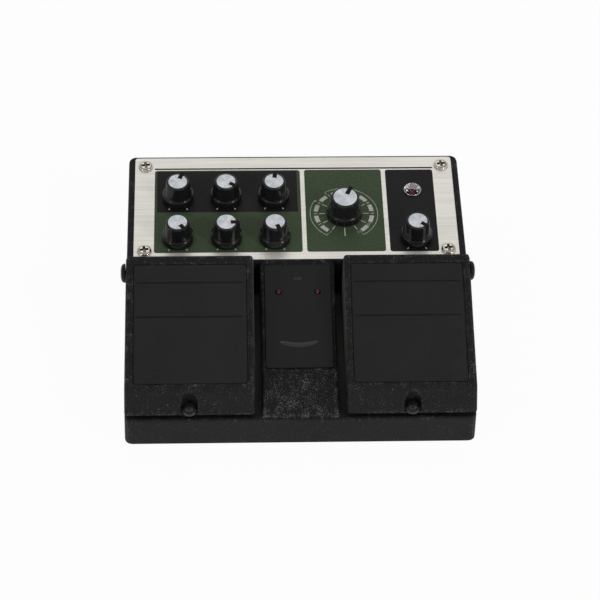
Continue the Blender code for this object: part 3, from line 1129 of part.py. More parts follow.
def build():
    clear_scene()
    chassis()
    bottom_cover()
    rubber_base()
    control_plate()
    plate_screws()
    for name, x, s in control_spots():
        knob(name, x, s)
    panel_board()
    peak_light()
    centre_cover()
    cover_lights()
    for side in SIDES:
        treadle(side)
        tread_pad(side)
        hinge_pin(side)
        thumbscrew(side)
        press_spring(side)
    foot_switches()
    jacks()
    dc_inlet()
    main_board()
    for piece in bpy.context.scene.objects:
        piece.data.shade_smooth()
        piece.data.set_sharp_from_angle(angle=35 * DEG)


build()
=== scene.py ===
# %% [markdown]
# # A twin-treadle effects pedal
# The pedal's solids were made first and packed into a fixed frame: 60 separate pieces on bodies that hinge,
# slide and turn. This lesson dresses that frame. A solid whose shape is right keeps its mesh and gets a
# finish, and a round or finely edged one is replaced by a smoother piece on the same axis. The box of the
# bare frame is measured first, to print it beside the dressed pedal's at the end.

import math

import bmesh
import bpy
from mathutils import Matrix, Vector


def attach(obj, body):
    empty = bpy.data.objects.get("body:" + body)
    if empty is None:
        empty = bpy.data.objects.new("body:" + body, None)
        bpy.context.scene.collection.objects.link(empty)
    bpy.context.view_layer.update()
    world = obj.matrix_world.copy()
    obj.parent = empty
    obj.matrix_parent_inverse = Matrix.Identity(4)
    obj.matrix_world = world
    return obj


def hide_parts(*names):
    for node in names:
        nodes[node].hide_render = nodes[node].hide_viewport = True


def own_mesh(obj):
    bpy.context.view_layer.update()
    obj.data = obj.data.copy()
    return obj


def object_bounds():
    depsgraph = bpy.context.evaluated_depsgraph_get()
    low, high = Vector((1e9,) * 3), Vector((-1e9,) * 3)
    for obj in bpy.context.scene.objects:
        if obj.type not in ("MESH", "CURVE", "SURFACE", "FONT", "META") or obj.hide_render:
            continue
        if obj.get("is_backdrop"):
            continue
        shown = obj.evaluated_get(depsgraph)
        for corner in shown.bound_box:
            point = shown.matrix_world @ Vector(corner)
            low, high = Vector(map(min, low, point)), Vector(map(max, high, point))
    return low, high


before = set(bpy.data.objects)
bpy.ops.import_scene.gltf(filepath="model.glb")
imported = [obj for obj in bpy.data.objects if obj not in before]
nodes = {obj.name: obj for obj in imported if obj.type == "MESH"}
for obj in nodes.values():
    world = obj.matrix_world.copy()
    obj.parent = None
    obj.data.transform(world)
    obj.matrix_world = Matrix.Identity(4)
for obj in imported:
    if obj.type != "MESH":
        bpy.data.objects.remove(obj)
cad_box = [list(corner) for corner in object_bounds()]

# %% [markdown]
# ## The camera
# The photograph looks down on the pedal from the front, almost 49 degrees above the floor, through a long
# lens. Its place, tilt and focal length were worked out from the panel's corners. The focal length is in
# pixels of a 600 pixel frame, and 36 mm of film stands for that width.

# %% Camera
MM = 0.001
FRAME_PIXELS = 600
FOCAL_PIXELS = 2263.8
AZIMUTH, ELEVATION, ROLL = math.radians(-3.2), math.radians(48.93), math.radians(1.93)
AIM, DISTANCE = Vector((1.8, 0.0, 18.1)), 1156.2
scene = bpy.context.scene


def add_object(name, data):
    made = bpy.data.objects.new(name, data)
    scene.collection.objects.link(made)
    return made


def look_axes(azimuth, elevation, roll):
    """Right, up and back of a camera that looks at the pedal from that side."""
    back = Vector((math.sin(azimuth) * math.cos(elevation), -math.cos(azimuth) * math.cos(elevation),
                   math.sin(elevation)))
    right = (-back).cross(Vector((0, 0, 1))).normalized()
    up = right.cross(-back)
    turned_right = math.cos(roll) * right + math.sin(roll) * up
    turned_up = math.cos(roll) * up - math.sin(roll) * right
    return turned_right, turned_up, back


right, up, back = look_axes(AZIMUTH, ELEVATION, ROLL)
optics = bpy.data.cameras.new("photo_view")
optics.sensor_width = 36.0
optics.lens = FOCAL_PIXELS / FRAME_PIXELS * optics.sensor_width
optics.clip_start = 0.05
optics.clip_end = 60.0
scene.camera = add_object("photo_view", optics)
place = AIM * MM + back * DISTANCE * MM
scene.camera.matrix_world = Matrix.Translation(place) @ Matrix((right, up, back)).transposed().to_4x4()
scene.view_settings.view_transform = "Standard"
print("lens", round(optics.lens, 1), "mm")

# %% [markdown]
# ## Short words for shader nodes
# A finish is a net of nodes. Setting each one by hand fills pages, so small helpers do the wiring: they set
# sockets or link them, do arithmetic, map a range to 0..1, blend colours and make noise. A socket knows the
# tree that it is in, so a helper finds the tree from what it is fed.

# %% Node helpers
def feed(socket, value):
    """Link a socket to an output, or set its constant."""
    if isinstance(value, bpy.types.NodeSocket):
        socket.id_data.links.new(value, socket)
    else:
        socket.default_value = value


def feed_row(made, *values):
    """Feed a node's first inputs in their order."""
    for socket, value in zip(made.inputs, values):
        feed(socket, value)
    return made.outputs


def feed_all(made, **values):
    """Feed a node's named inputs; words in a name are joined with underscores here."""
    for title, value in values.items():
        feed(made.inputs[title.replace("_", " ")], value)
    return made.outputs


def add_node(kind, *values):
    """A new node in the tree that the values come from; plain numbers among them are passed over."""
    tree = next(value.id_data for value in values if isinstance(value, bpy.types.NodeSocket))
    return tree.nodes.new("ShaderNode" + kind)


def calc(operation, *values, kind="Math", result="Value"):
    made = add_node(kind, *values)
    made.operation = operation
    return feed_row(made, *values)[result]


def times(first, *others):
    for other in others:
        first = calc("MULTIPLY", first, other)
    return first


def band(value, low, high, first=0.0, last=1.0):
    """Smooth step of a value from low to high, put out as first to last."""
    made = add_node("MapRange", value)
    made.interpolation_type = "SMOOTHSTEP"
    return feed_all(made, Value=value, From_Min=low, From_Max=high, To_Min=first, To_Max=last)["Result"]


def blend_colors(share, first, second, way="MIX"):
    made = add_node("Mix", share, first, second)
    made.data_type = "RGBA"
    made.blend_type = way
    for index, value in ((0, share), (6, first), (7, second)):
        feed(made.inputs[index], value)
    return made.outputs[2]


def noise(vector, scale, detail=3.0, roughness=0.5):
    made = add_node("TexNoise", vector)
    return feed_all(made, Vector=vector, Scale=scale, Detail=detail, Roughness=roughness)["Fac"]


def parts_of(vector):
    """The x, y and z of a vector."""
    return feed_row(add_node("SeparateXYZ", vector), vector)


def rounded_normal(tree, radius):
    """The normal of the surface with its edges rounded."""
    made = tree.nodes.new("ShaderNodeBevel")
    made.samples = 4
    return feed_all(made, Radius=radius)[0]


def open_group(name, inputs, outputs):
    """A new group that takes a vector and other values, with its tree, its inputs and its outputs."""
    tree = bpy.data.node_groups.new(name, "ShaderNodeTree")
    sockets = tree.interface
    sockets.new_socket("Vector", in_out="INPUT", socket_type="NodeSocketVector")
    for title, value in inputs.items():
        kind = "NodeSocketColor" if isinstance(value, tuple) else "NodeSocketFloat"
        sockets.new_socket(title, in_out="INPUT", socket_type=kind).default_value = value
    for title in outputs:
        kind = "NodeSocketColor" if title == "Color" else "NodeSocketFloat"
        sockets.new_socket(title, in_out="OUTPUT", socket_type=kind)
    return tree, tree.nodes.new("NodeGroupInput").outputs, tree.nodes.new("NodeGroupOutput").inputs


print("node helpers ready")

# %% [markdown]
# ## Crinkle coat
# The cast parts wear a black coat that dries into fine grains a little under a millimetre across. Real bumps
# would take millions of faces, so the coat is a height that the shader reads: rounded cells for the grains
# with a finer noise on them. Its colour is painted darker in the valleys of that height and lighter on the
# hills, as painted shade and light. Some grains shine: where a fine noise rises over a limit, a grain gets a
# lighter colour, which is a painted glint, and a lower roughness. A slower noise moves that limit, so the
# glints come in clumps. The group takes the share of such grains, because some places get more painted
# glints than others.

# %% Crinkle coat group
def crinkle_group():
    tree, given, out = open_group(
        "Crinkle coat", {"Grains per metre": 1150.0, "Coat": (0, 0, 0, 1), "Glint": (0.14, 0.14, 0.15, 1),
                         "Glint share": 0.0}, ("Color", "Roughness", "Height"))
    place, grains = given["Vector"], given["Grains per metre"]

    def sized_noise(fineness, *settings):
        """Noise that is so many times as fine as the grains."""
        return noise(place, times(grains, fineness), *settings)

    cells = tree.nodes.new("ShaderNodeTexVoronoi")
    cells.feature = "SMOOTH_F1"
    grain = feed_all(cells, Vector=place, Scale=grains, Smoothness=0.3)
    hill = calc("SUBTRACT", 1.0, times(grain["Distance"], 1.3))
    height = calc("ADD", times(hill, 0.65), times(sized_noise(1.9, 2.0), 0.35))
    fleck, clump = sized_noise(1.65, 2.0, 0.6), sized_noise(0.17, 3.0, 0.6)
    limit = calc("SUBTRACT", 0.78, times(given["Glint share"], 0.52))
    limit = calc("ADD", limit, times(calc("SUBTRACT", 0.5, clump), 0.36))
    spot = band(calc("SUBTRACT", fleck, limit), 0.0, 0.13)
    # Darker in the valleys of the height and lighter on its hills: painted shade and light on the grains.
    painted_grain_shade = blend_colors(band(height, 0.35, 0.75), (0.55, 0.55, 0.55, 1), (1.15, 1.15, 1.15, 1))
    shaded = blend_colors(1.0, given["Coat"], painted_grain_shade, "MULTIPLY")
    # Where a glint spot lies, the colour turns to the lighter Glint colour, a painted glint; its lower
    # roughness and extra height are real.
    feed(out["Color"], blend_colors(spot, shaded, given["Glint"]))
    feed(out["Roughness"], band(spot, 0.0, 1.0, 0.56, 0.3))
    feed(out["Height"], calc("ADD", height, times(spot, 0.3)))
    return tree


CRINKLE = crinkle_group()
print("group:", CRINKLE.name, len(CRINKLE.nodes), "nodes")

# %% [markdown]
# ## Worn edges and handling marks
# Where hands and shoes rub, an edge is a little lighter. Cycles can find an edge by comparing a rounded
# normal with the true one: they part only near an edge. The mask is broken up by noise, so that no edge is
# worn in an even line. A wider copy of the same edge mask places more painted glints along the coat's edges.
# Handling marks are softer and larger: a slow noise that lifts the roughness and adds a trace of dust.

# %% Wear and handling groups
def wear_group():
    tree, given, out = open_group("Edge mask", {"Reach": 0.0, "Full at": 0.16}, ("Mask",))
    plain = tree.nodes.new("ShaderNodeNewGeometry").outputs["True Normal"]
    rounded = rounded_normal(tree, given["Reach"])
    apart = calc("SUBTRACT", 1.0, calc("DOT_PRODUCT", rounded, plain, kind="VectorMath"))
    patchy = noise(given["Vector"], 260.0, 4.0, 0.6)
    feed(out["Mask"], times(band(apart, 0.004, given["Full at"]), band(patchy, 0.35, 0.7)))
    return tree


def handling_group():
    tree, given, out = open_group("Handling", {"Marks per metre": 0.0}, ("Smudge", "Dust"))
    slow = noise(given["Vector"], given["Marks per metre"], 4.0, 0.6)
    feed(out["Smudge"], band(slow, 0.35, 0.7))
    motes = noise(given["Vector"], times(given["Marks per metre"], 55.0), 2.0, 0.5)
    feed(out["Dust"], times(band(motes, 0.62, 0.78), band(slow, 0.3, 0.75)))
    return tree


EDGE_MASK = wear_group()
HANDLING = handling_group()
print("groups:", EDGE_MASK.name, "and", HANDLING.name)

# %% [markdown]
# ## Brushed and turned metal
# The control plate was brushed from side to side, and the knob caps were turned on a lathe. Both are the
# same thing seen along other lines: a grain that is long one way and very fine the other. The group takes
# coordinates that have already been stretched, or wound into rings, so one group serves both. Its last
# input makes the whole surface more matt.

# %% Metal grain group
def grain_group():
    tree, given, out = open_group("Metal grain", {"Depth": 0.0, "Matt": 0.0},
                                  ("Shade", "Roughness", "Height"))
    fine = noise(given["Vector"], 1.0, 4.0, 0.65)
    broad = noise(given["Vector"], 0.21, 2.0, 0.5)
    line = calc("ADD", times(fine, 0.93), times(broad, 0.07))
    feed(out["Shade"], band(line, 0.3, 0.7, 0.86, 1.08))
    feed(out["Roughness"], calc("ADD", band(line, 0.3, 0.7, 0.36, 0.27), given["Matt"]))
    feed(out["Height"], times(line, given["Depth"]))
    return tree


GRAIN = grain_group()
print("group:", GRAIN.name)

# %% Material helpers
DUST = (0.3, 0.29, 0.27)


def tinted(color):
    return (*color, 1.0)


def new_surface(name):
    """A material, its shader and the coordinates of the piece it is on."""
    made = bpy.data.materials.new(name)
    made.use_nodes = True
    tree = made.node_tree
    place = tree.nodes.new("ShaderNodeTexCoord").outputs["Object"]
    return made, tree.nodes["Principled BSDF"], place


def put_group(group, **values):
    made = add_node("Group", *values.values())
    made.node_tree = group
    return feed_all(made, **values)


def mottled(texture, marks, color, dark, light, dust):
    """A colour that a texture makes darker and lighter, with a share of dust on it."""
    ends = [tinted(min(1.0, part * share) for part in color) for share in (dark, light)]
    shade = blend_colors(band(texture, 0.3, 0.7), *ends)
    return blend_colors(times(marks["Dust"], dust), shade, tinted(DUST))


def shape_normal(shader, height, depth, radius=None):
    """Let a height stand on the surface, and round its edges in the light; both in millimetres."""
    bump = add_node("Bump", height)
    feed_all(bump, Distance=depth * MM, Height=height)
    if radius is not None:
        feed_all(bump, Normal=rounded_normal(shader.id_data, radius * MM))
    feed_all(shader, Normal=bump.outputs[0])


def stretch(shader, axis):
    """Let a stretched gloss follow circles about an axis of the piece."""
    ring = shader.id_data.nodes.new("ShaderNodeTangent")
    ring.direction_type = "RADIAL"
    ring.axis = axis
    feed_all(shader, Tangent=ring.outputs[0])


# %% [markdown]
# ## The black coat on the castings
# Body and treadles share the coat. On the body, the bare front of the ridge between the treadles is rougher
# than the rest and sparkles, so its share of painted glints rises there. That patch is found by its place on
# the casting: narrow in x, and in front of the centre cover. Along every edge more grains get the painted
# glint too, so a wide edge mask adds to the share. The gaps at both sides of the ridge get a lighter colour,
# painted light that lifts their shade.

# %% Crinkle coat materials
def coat_material(name, tone, share, ridge_share=None):
    made, shader, place = new_surface(name)
    part = parts_of(place)
    aside = calc("ABSOLUTE", part["X"])

    def zone(value, low, high, *ends):
        """A band between two places in millimetres."""
        return band(value, low * MM, high * MM, *ends)

    # A lighter colour in the gaps beside the ridge, which is painted light that lifts their shade.
    gap_painted_light = times(zone(aside, 18.55, 18.75), zone(aside, 23.0, 22.5), zone(part["Y"], -76.0, -30.0),
                zone(part["Y"], 5.0, 2.0))
    glints = share
    if ridge_share is not None:
        ridge = times(zone(aside, 19.0, 18.3), zone(part["Y"], -77.2, -76.4),
                      zone(part["Y"], -40.0, -72.0, 0.35, 1.0))
        glints = band(ridge, 0.0, 1.0, share, ridge_share)
    # A wide edge mask adds to the share of painted glints along every edge.
    edge_glint_mask = put_group(EDGE_MASK, Vector=place, Reach=2.6 * MM, Full_at=0.03)
    glints = calc("ADD", glints, times(edge_glint_mask["Mask"], 0.28))
    coat = put_group(CRINKLE, Vector=place, Glint_share=glints, Coat=(tone, tone, tone * 1.05, 1))
    worn = put_group(EDGE_MASK, Vector=place, Reach=0.9 * MM)
    marks = put_group(HANDLING, Vector=place, Marks_per_metre=24.0)
    color = coat["Color"]
    # Worn edges and dust are the coat's own marks; the gap entry is painted light.
    for mask, strength, tint in ((worn["Mask"], 0.45, (0.07, 0.07, 0.075)),
                                 (marks["Dust"], 0.12, (0.12, 0.115, 0.105)),
                                 (gap_painted_light, 0.7, (0.12, 0.12, 0.112))):
        color = blend_colors(times(mask, strength), color, tinted(tint))
    feed_all(shader, Base_Color=color, Specular_IOR_Level=0.2,
             Roughness=calc("ADD", coat["Roughness"], times(marks["Smudge"], 0.06)))
    shape_normal(shader, coat["Height"], 0.16, 0.7)
    return made


# The last numbers are the shares of painted glints, on the whole coat and on the ridge's front.
BODY_COAT = coat_material("crinkle_coat_body", 0.0094, 0.21, 0.44)
TREADLE_COAT = coat_material("crinkle_coat_treadle", 0.013, 0.29)
print("coats:", BODY_COAT.name, TREADLE_COAT.name)

# %% [markdown]
# ## Rubber, plastics and plain metals
# Most other finishes differ only in colour, gloss and how fine their texture is. The rubber pads are matt
# and hold dust, the knobs are moulded smooth and shine, and the screws and nuts are plated.

# %% Plain materials
def plain_material(name, color, roughness, texture, depth, dust=0.1, metallic=0.0, specular=0.5, edge=0.25,
                   smudge=1.25):
    """Base colour, mean roughness, texture grains per metre and their depth in millimetres."""
    made, shader, place = new_surface(name)
    marks = put_group(HANDLING, Vector=place, Marks_per_metre=38.0)
    grit = noise(place, texture, 3.0, 0.55)
    feed_all(shader, Base_Color=mottled(grit, marks, color, 0.86, 1.12, dust),
             Roughness=band(marks["Smudge"], 0.0, 1.0, roughness, min(1.0, roughness * smudge + 0.02)),
             Metallic=metallic, Specular_IOR_Level=specular)
    shape_normal(shader, grit, depth, edge)
    return made


PAD_RUBBER = plain_material("pad_rubber", (0.0168, 0.0168, 0.0171), 0.82, 1700.0, 0.06, 0.08, specular=0.3,
                            edge=0.3, smudge=1.05)
BASE_RUBBER = plain_material("base_rubber", (0.016, 0.016, 0.016), 0.85, 1500.0, 0.05, 0.25, specular=0.3)
COVER_SATIN = plain_material("satin_cover", (0.0115, 0.0115, 0.0122), 0.42, 5200.0, 0.006, 0.08,
                             specular=0.25)
# The scoop's satin has a lighter colour than the cover's: a painted sheen, over its real higher gloss.
SCOOP_PAINTED_SHEEN = plain_material("scoop_painted_sheen", (0.02, 0.02, 0.02), 0.36, 5200.0, 0.006, 0.08, specular=0.6)
KNOB_GLOSS = plain_material("knob_gloss", (0.0135, 0.0135, 0.0145), 0.16, 900.0, 0.0, 0.012, specular=0.28,
                            edge=0.05)
POINTER_SATIN = plain_material("pointer_satin", (0.011, 0.011, 0.0115), 0.5, 900.0, 0.0, 0.012, specular=0.1)
MOULDED = plain_material("moulded_black", (0.014, 0.014, 0.015), 0.45, 2200.0, 0.01)
BLACK_STEEL = plain_material("black_steel", (0.012, 0.012, 0.013), 0.15, 700.0, 0.0, 0.03, specular=0.32)
PIN_STEEL = plain_material("pin_steel", (0.009, 0.009, 0.0095), 0.25, 700.0, 0.0, 0.03, specular=0.15)
# Dark brown metal for the cut faces of a cross recess: painted shade in the recess.
RECESS_PAINTED_SHADE = plain_material("recess_painted_shade", (0.2, 0.175, 0.145), 0.3, 900.0, 0.001, 0.03, 1.0)
ZINC = plain_material("zinc_steel", (0.52, 0.53, 0.54), 0.36, 1800.0, 0.008, 0.05, 1.0)
NICKEL = plain_material("nickel", (0.66, 0.64, 0.6), 0.22, 1500.0, 0.004, 0.04, 1.0, edge=0.12)
SCREW_METAL = plain_material("screw_nickel", (0.62, 0.58, 0.51), 0.13, 900.0, 0.001, 0.03, 1.0, edge=0.1)
CUP_METAL = plain_material("cup_metal", (0.5, 0.49, 0.49), 0.1, 300.0, 0.0, 0.02, 1.0, edge=0.05)
BRASS = plain_material("turned_brass", (0.6, 0.42, 0.17), 0.3, 2600.0, 0.006, 0.04, 1.0)
print("plain materials ready")

# %% [markdown]
# ## The brushed plate
# The plate's grain runs from side to side, so its coordinates are squeezed along x and stretched along y
# before they reach the grain group. The metal is a warm silver, and the grain changes its shade, its gloss
# and its height together, as a real scratch does. Brush lines also smear a reflection across themselves, so
# the gloss is stretched from front to rear. Circles about the x axis cross the plate in that direction.

# %% Brushed plate
def plate_material():
    made, shader, place = new_surface("brushed_plate")
    squeezed = calc("MULTIPLY", place, (18.0, 2600.0, 200.0), kind="VectorMath", result="Vector")
    grain = put_group(GRAIN, Vector=squeezed, Depth=0.5, Matt=0.14)
    marks = put_group(HANDLING, Vector=place, Marks_per_metre=22.0)
    bright = blend_colors(grain["Shade"], (0.0, 0.0, 0.0, 1), (0.98, 0.945, 0.885, 1))
    bright = blend_colors(times(marks["Dust"], 0.15), bright, (0.35, 0.33, 0.3, 1))
    feed_all(shader, Base_Color=bright, Metallic=0.65, Anisotropic=0.6,
             Roughness=calc("ADD", grain["Roughness"], times(marks["Smudge"], 0.04)))
    stretch(shader, "X")
    shape_normal(shader, grain["Height"], 0.012, 0.25)
    return made


PLATE_METAL = plate_material()
print("plate:", PLATE_METAL.name)

# %% [markdown]
# ## The turned caps
# A lathe leaves rings round the middle of each cap. Light on such rings spreads into bright wedges that
# run out from the middle. Cycles draws them when the shader is told that the gloss is stretched, and the
# Tangent node tells it to follow circles about the cap's own axis. A slow noise that reads only the
# direction from the middle paints some wedges brighter and others darker into the base colour as well:
# painted reflections.

# %% Turned cap
def cap_material():
    made, shader, place = new_surface("turned_cap")
    part = parts_of(place)
    across = calc("SQRT", calc("ADD", calc("POWER", part["X"], 2.0),
                                     calc("POWER", part["Y"], 2.0)))
    angle = calc("ARCTAN2", part["Y"], part["X"])

    def flat_vector(x, y):
        return feed_row(add_node("CombineXYZ", x), x, y)[0]

    wound = flat_vector(times(across, 3200.0), times(calc("COSINE", angle), 0.6))
    grain = put_group(GRAIN, Vector=wound, Depth=0.4)
    outward = flat_vector(calc("COSINE", angle), calc("SINE", angle))
    # Brighter and darker wedges round the cap, painted into the base colour as painted reflections.
    painted_wedges = band(noise(outward, 1.5, 2.0, 0.5), 0.4, 0.6, 0.8, 1.06)
    shade = times(grain["Shade"], painted_wedges)
    feed_all(shader, Base_Color=blend_colors(shade, (0, 0, 0, 1), (0.59, 0.61, 0.64, 1)),
             Roughness=times(grain["Roughness"], 1.05), Metallic=1.0, Anisotropic=0.75)
    stretch(shader, "Z")
    shape_normal(shader, grain["Height"], 0.006, 0.1)
    return made


CAP_METAL = cap_material()
print("caps:", CAP_METAL.name)

# %% [markdown]
# ## Printing inks, lights and boards
# The panels are screen-printed on the plate: a thin even film, slightly glossy, in which a faint mottle is
# all that shows. The lights are dark red resin, unlit, and the power lens is smoked. They pass some light,
# so they get a little transmission under their gloss.

# %% Inks and lenses
def ink_material(name, color):
    made, shader, place = new_surface(name)
    marks = put_group(HANDLING, Vector=place, Marks_per_metre=45.0)
    mottle = noise(place, 900.0, 4.0, 0.6)
    feed_all(shader, Base_Color=mottled(mottle, marks, color, 0.84, 1.18, 0.1),
             Roughness=band(marks["Smudge"], 0.0, 1.0, 0.42, 0.5), Specular_IOR_Level=0.12)
    shape_normal(shader, mottle, 0.004)
    return made


def lens_material(name, color, transmission):
    made, shader, place = new_surface(name)
    cloud = noise(place, 700.0, 3.0, 0.5)
    deep = tinted(part * 0.6 for part in color)
    feed_all(shader, Base_Color=blend_colors(cloud, deep, tinted(color)),
             Roughness=band(cloud, 0.2, 0.8, 0.16, 0.26), Transmission_Weight=transmission, IOR=1.5)
    return made


BLACK_INK = ink_material("black_ink", (0.0125, 0.0125, 0.0135))
GREEN_INK = ink_material("green_ink", (0.058, 0.085, 0.044))
GREY_INK = ink_material("grey_ink", (0.55, 0.56, 0.51))
PALE_INK = ink_material("pale_ink", (0.66, 0.66, 0.62))
RED_LENS = lens_material("red_light", (0.085, 0.006, 0.009), 0.05)
POWER_LENS = lens_material("power_lens", (0.03, 0.04, 0.05), 0.3)
BOARD = plain_material("green_board", (0.02, 0.1, 0.035), 0.35, 1200.0, 0.01, 0.05)
print("inks and lenses ready")

# %% [markdown]
# ## Finishes for the solids
# These solids have the right shape already, so only their material slot changes. The Bevel node in each
# finish rounds their edges in the light, which a flat-sided solid can't do by itself.

# %% Dress the solids
FINISHES = {
    "chassis": BODY_COAT, "treadle_left": TREADLE_COAT, "treadle_right": TREADLE_COAT,
    "rubber_base": BASE_RUBBER, "control_plate": PLATE_METAL, "bottom_cover": ZINC, "power_lens": POWER_LENS,
    "panel_board": BOARD, "main_board": BOARD,
}
for name, node in nodes.items():
    node.data.materials.clear()
    node.data.materials.append(FINISHES.get(name, BRASS if name.startswith("shaft") else MOULDED))
print("dressed", len(nodes), "solids")

# %% [markdown]
# ## Helpers for new pieces
# Sizes are written in millimetres and scaled once, when a mesh is made. A turned piece is an outline spun
# about its axis, and its corners are rounded by a Bevel modifier, which leaves the fine steps round the
# axis alone because they hardly bend. Cuts are Booleans that are applied at once, so no helper stays in the
# file. Every piece is then told which body it rides on.

# %% Places and outlines
SIDES = (("left", -1), ("right", 1))


def shift(x, y, z):
    return Matrix.Translation((x * MM, y * MM, z * MM))


def rotation(degrees, axis="Z"):
    return Matrix.Rotation(math.radians(degrees), 4, axis)


def slope(y, z, rise, run):
    """Frame of a sloping face, from one of its points and how far it rises over its depth."""
    return shift(0, y, z) @ Matrix.Rotation(math.atan2(rise, run), 4, "X")


PANEL = slope(5.9, 42.8, 1.6, 70.2)
RIDGE = slope(4.6, 42.0, 21.4, 81.2)
TREAD = slope(-2.6, 56.0, 22.6, 67.0)


def arc(radius, start, stop, steps, cx=0.0, cy=0.0):
    """Points on part of a circle, with its angles in degrees from x."""
    angles = [math.radians(start + (stop - start) * i / steps) for i in range(steps + 1)]
    return [(cx + radius * math.cos(angle), cy + radius * math.sin(angle)) for angle in angles]


def circle(radius, cx=0.0, cy=0.0, steps=48):
    return arc(radius, 0, 360, steps, cx, cy)[:-1]


def oblong(x0, x1, y0, y1, corner=0.0, steps=6):
    """Outline of a rectangle with round corners."""
    if corner == 0:
        return [(x0, y0), (x1, y0), (x1, y1), (x0, y1)]
    points = []
    for cx, cy, start in ((x1 - corner, y0 + corner, -90), (x1 - corner, y1 - corner, 0),
                          (x0 + corner, y1 - corner, 90), (x0 + corner, y0 + corner, 180)):
        points += arc(corner, start, start + 90, steps, cx, cy)
    return points


def flowing(points, steps=5):
    """A smooth line through some points, as a lathe tool would cut it."""
    ends = [points[0]] + list(points) + [points[-1]]
    line = []
    for before, start, stop, after in zip(ends, ends[1:], ends[2:], ends[3:]):
        for i in range(steps):
            t = i / steps
            line.append(tuple(0.5 * (2 * b + (c - a) * t + (2 * a - 5 * b + 4 * c - d) * t * t
                                     + (3 * b - a - 3 * c + d) * t ** 3)
                              for a, b, c, d in zip(before, start, stop, after)))
    return line + [points[-1]]


print("three sloping frames:", PANEL.translation.z, RIDGE.translation.z, TREAD.translation.z)


# %% Solids
def turned(outline, steps=72, closed=True):
    """Bmesh of a (radius, height) outline spun about Z."""
    bm = bmesh.new()
    verts = [bm.verts.new((r, 0, z)) for r, z in outline]
    pairs = zip(verts, verts[1:] + verts[:1] if closed else verts[1:])
    edges = [bm.edges.new(pair) for pair in pairs if pair[0].co.x or pair[1].co.x]
    bmesh.ops.spin(bm, geom=verts + edges, cent=(0, 0, 0), axis=(0, 0, 1), angle=2 * math.pi, steps=steps,
                   use_merge=True)
    bmesh.ops.remove_doubles(bm, verts=bm.verts, dist=0.0005)
    return bm


def slab(outline, low, high, bm=None):
    """Raise an outline in XY from low to high, in a new bmesh or in one that is given."""
    if bm is None:
        bm = bmesh.new()
    base = bm.faces.new([bm.verts.new((x, y, low)) for x, y in outline])
    top = bmesh.ops.extrude_face_region(bm, geom=[base])["geom"]
    moved = [v for v in top if isinstance(v, bmesh.types.BMVert)]
    bmesh.ops.translate(bm, verts=moved, vec=(0, 0, high - low))
    return bm


def loft(rings):
    """Closed bmesh through rings that have equally many points."""
    bm = bmesh.new()
    rows = [[bm.verts.new(point) for point in ring] for ring in rings]
    count = len(rows[0])
    for first, second in zip(rows, rows[1:]):
        for k in range(count):
            bm.faces.new((first[k], first[(k + 1) % count], second[(k + 1) % count], second[k]))
    bm.faces.new(rows[0])
    bm.faces.new(rows[-1])
    return bm


def finished(mesh, *finishes):
    """Shade a mesh smooth and give it its finishes."""
    for face in mesh.polygons:
        face.use_smooth = True
    for finish in finishes:
        mesh.materials.append(finish)
    return mesh


def to_mesh(bm, name, *finishes, unit=MM):
    """Mesh in metres from a bmesh, with its faces turned outwards."""
    bmesh.ops.recalc_face_normals(bm, faces=bm.faces)
    bmesh.ops.scale(bm, vec=(unit, unit, unit), verts=bm.verts)
    mesh = bpy.data.meshes.new(name)
    bm.to_mesh(mesh)
    bm.free()
    return finished(mesh, *finishes)


def current_mesh(piece):
    """What a curve draws, or what a mesh is after its modifiers."""
    bpy.context.view_layer.update()
    return bpy.data.meshes.new_from_object(piece.evaluated_get(bpy.context.evaluated_depsgraph_get()))


def sharpen(mesh, degrees):
    """Let edges that bend by more than so many degrees look sharp."""
    mesh.set_sharp_from_angle(angle=math.radians(degrees))


# %% Pieces
def dress(name, mesh, place, body, stands_for=(), sharp=38):
    """Put a mesh in its place as a piece that rides on a body."""
    sharpen(mesh, sharp)
    piece = add_object(name, mesh)
    piece.matrix_world = place
    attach(piece, body)
    if stands_for:
        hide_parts(*stands_for)
    return piece


def make_piece(name, bm, finish, place, body, stands_for=()):
    """Turn a bmesh in millimetres into a finished piece."""
    return dress(name, to_mesh(bm, name, finish), place, body, stands_for)


def round_edges(piece, width, segments=2):
    step = piece.modifiers.new("round_edges", "BEVEL")
    step.width = width * MM
    step.segments = segments
    step.limit_method = "ANGLE"
    step.angle_limit = math.radians(32)
    step.harden_normals = True


def carve(piece, bm, place, finish, sharp=32):
    """Cut a piece with a solid in millimetres, which leaves its finish on the faces that it cuts."""
    tool = add_object("helper", to_mesh(bm, "helper", finish))
    tool.matrix_world = place
    step = piece.modifiers.new("carve", "BOOLEAN")
    step.operation = "DIFFERENCE"
    step.material_mode = "TRANSFER"
    step.object = tool
    shape = current_mesh(piece)
    piece.modifiers.clear()
    piece.data = shape
    bpy.data.objects.remove(tool)
    sharpen(shape, sharp)


def add_line(curve, points):
    """Draw straight steps through points in millimetres."""
    line = curve.splines.new("POLY")
    line.points.add(len(points) - 1)
    for spot, (x, y, z) in zip(line.points, points):
        spot.co = (x * MM, y * MM, z * MM, 1)
    return line


def drawn(curve, finish):
    """The mesh that a curve draws."""
    drawing = add_object(curve.name, curve)
    mesh = current_mesh(drawing)
    bpy.data.objects.remove(drawing)
    mesh.materials.clear()
    return finished(mesh, finish)


def wire(name, points, radius, resolution, finish):
    """Mesh of a round wire through some points."""
    curve = bpy.data.curves.new(name, "CURVE")
    curve.dimensions = "3D"
    curve.bevel_depth = radius * MM
    curve.bevel_resolution = resolution
    curve.use_fill_caps = True
    add_line(curve, points)
    return drawn(curve, finish)


print("mesh helpers ready")

# %% [markdown]
# ## Printed panels
# Green and black fields are printed on the plate, with bare metal strips between them and a thin line
# across the header. A print edge has to stay crisp in any view, so each colour is a film of its own, a few
# hundredths of a millimetre thick. A 2D curve makes such a film well: it fills an outline and leaves holes
# where there is a second outline inside it. Inks that were printed later lie a little higher.

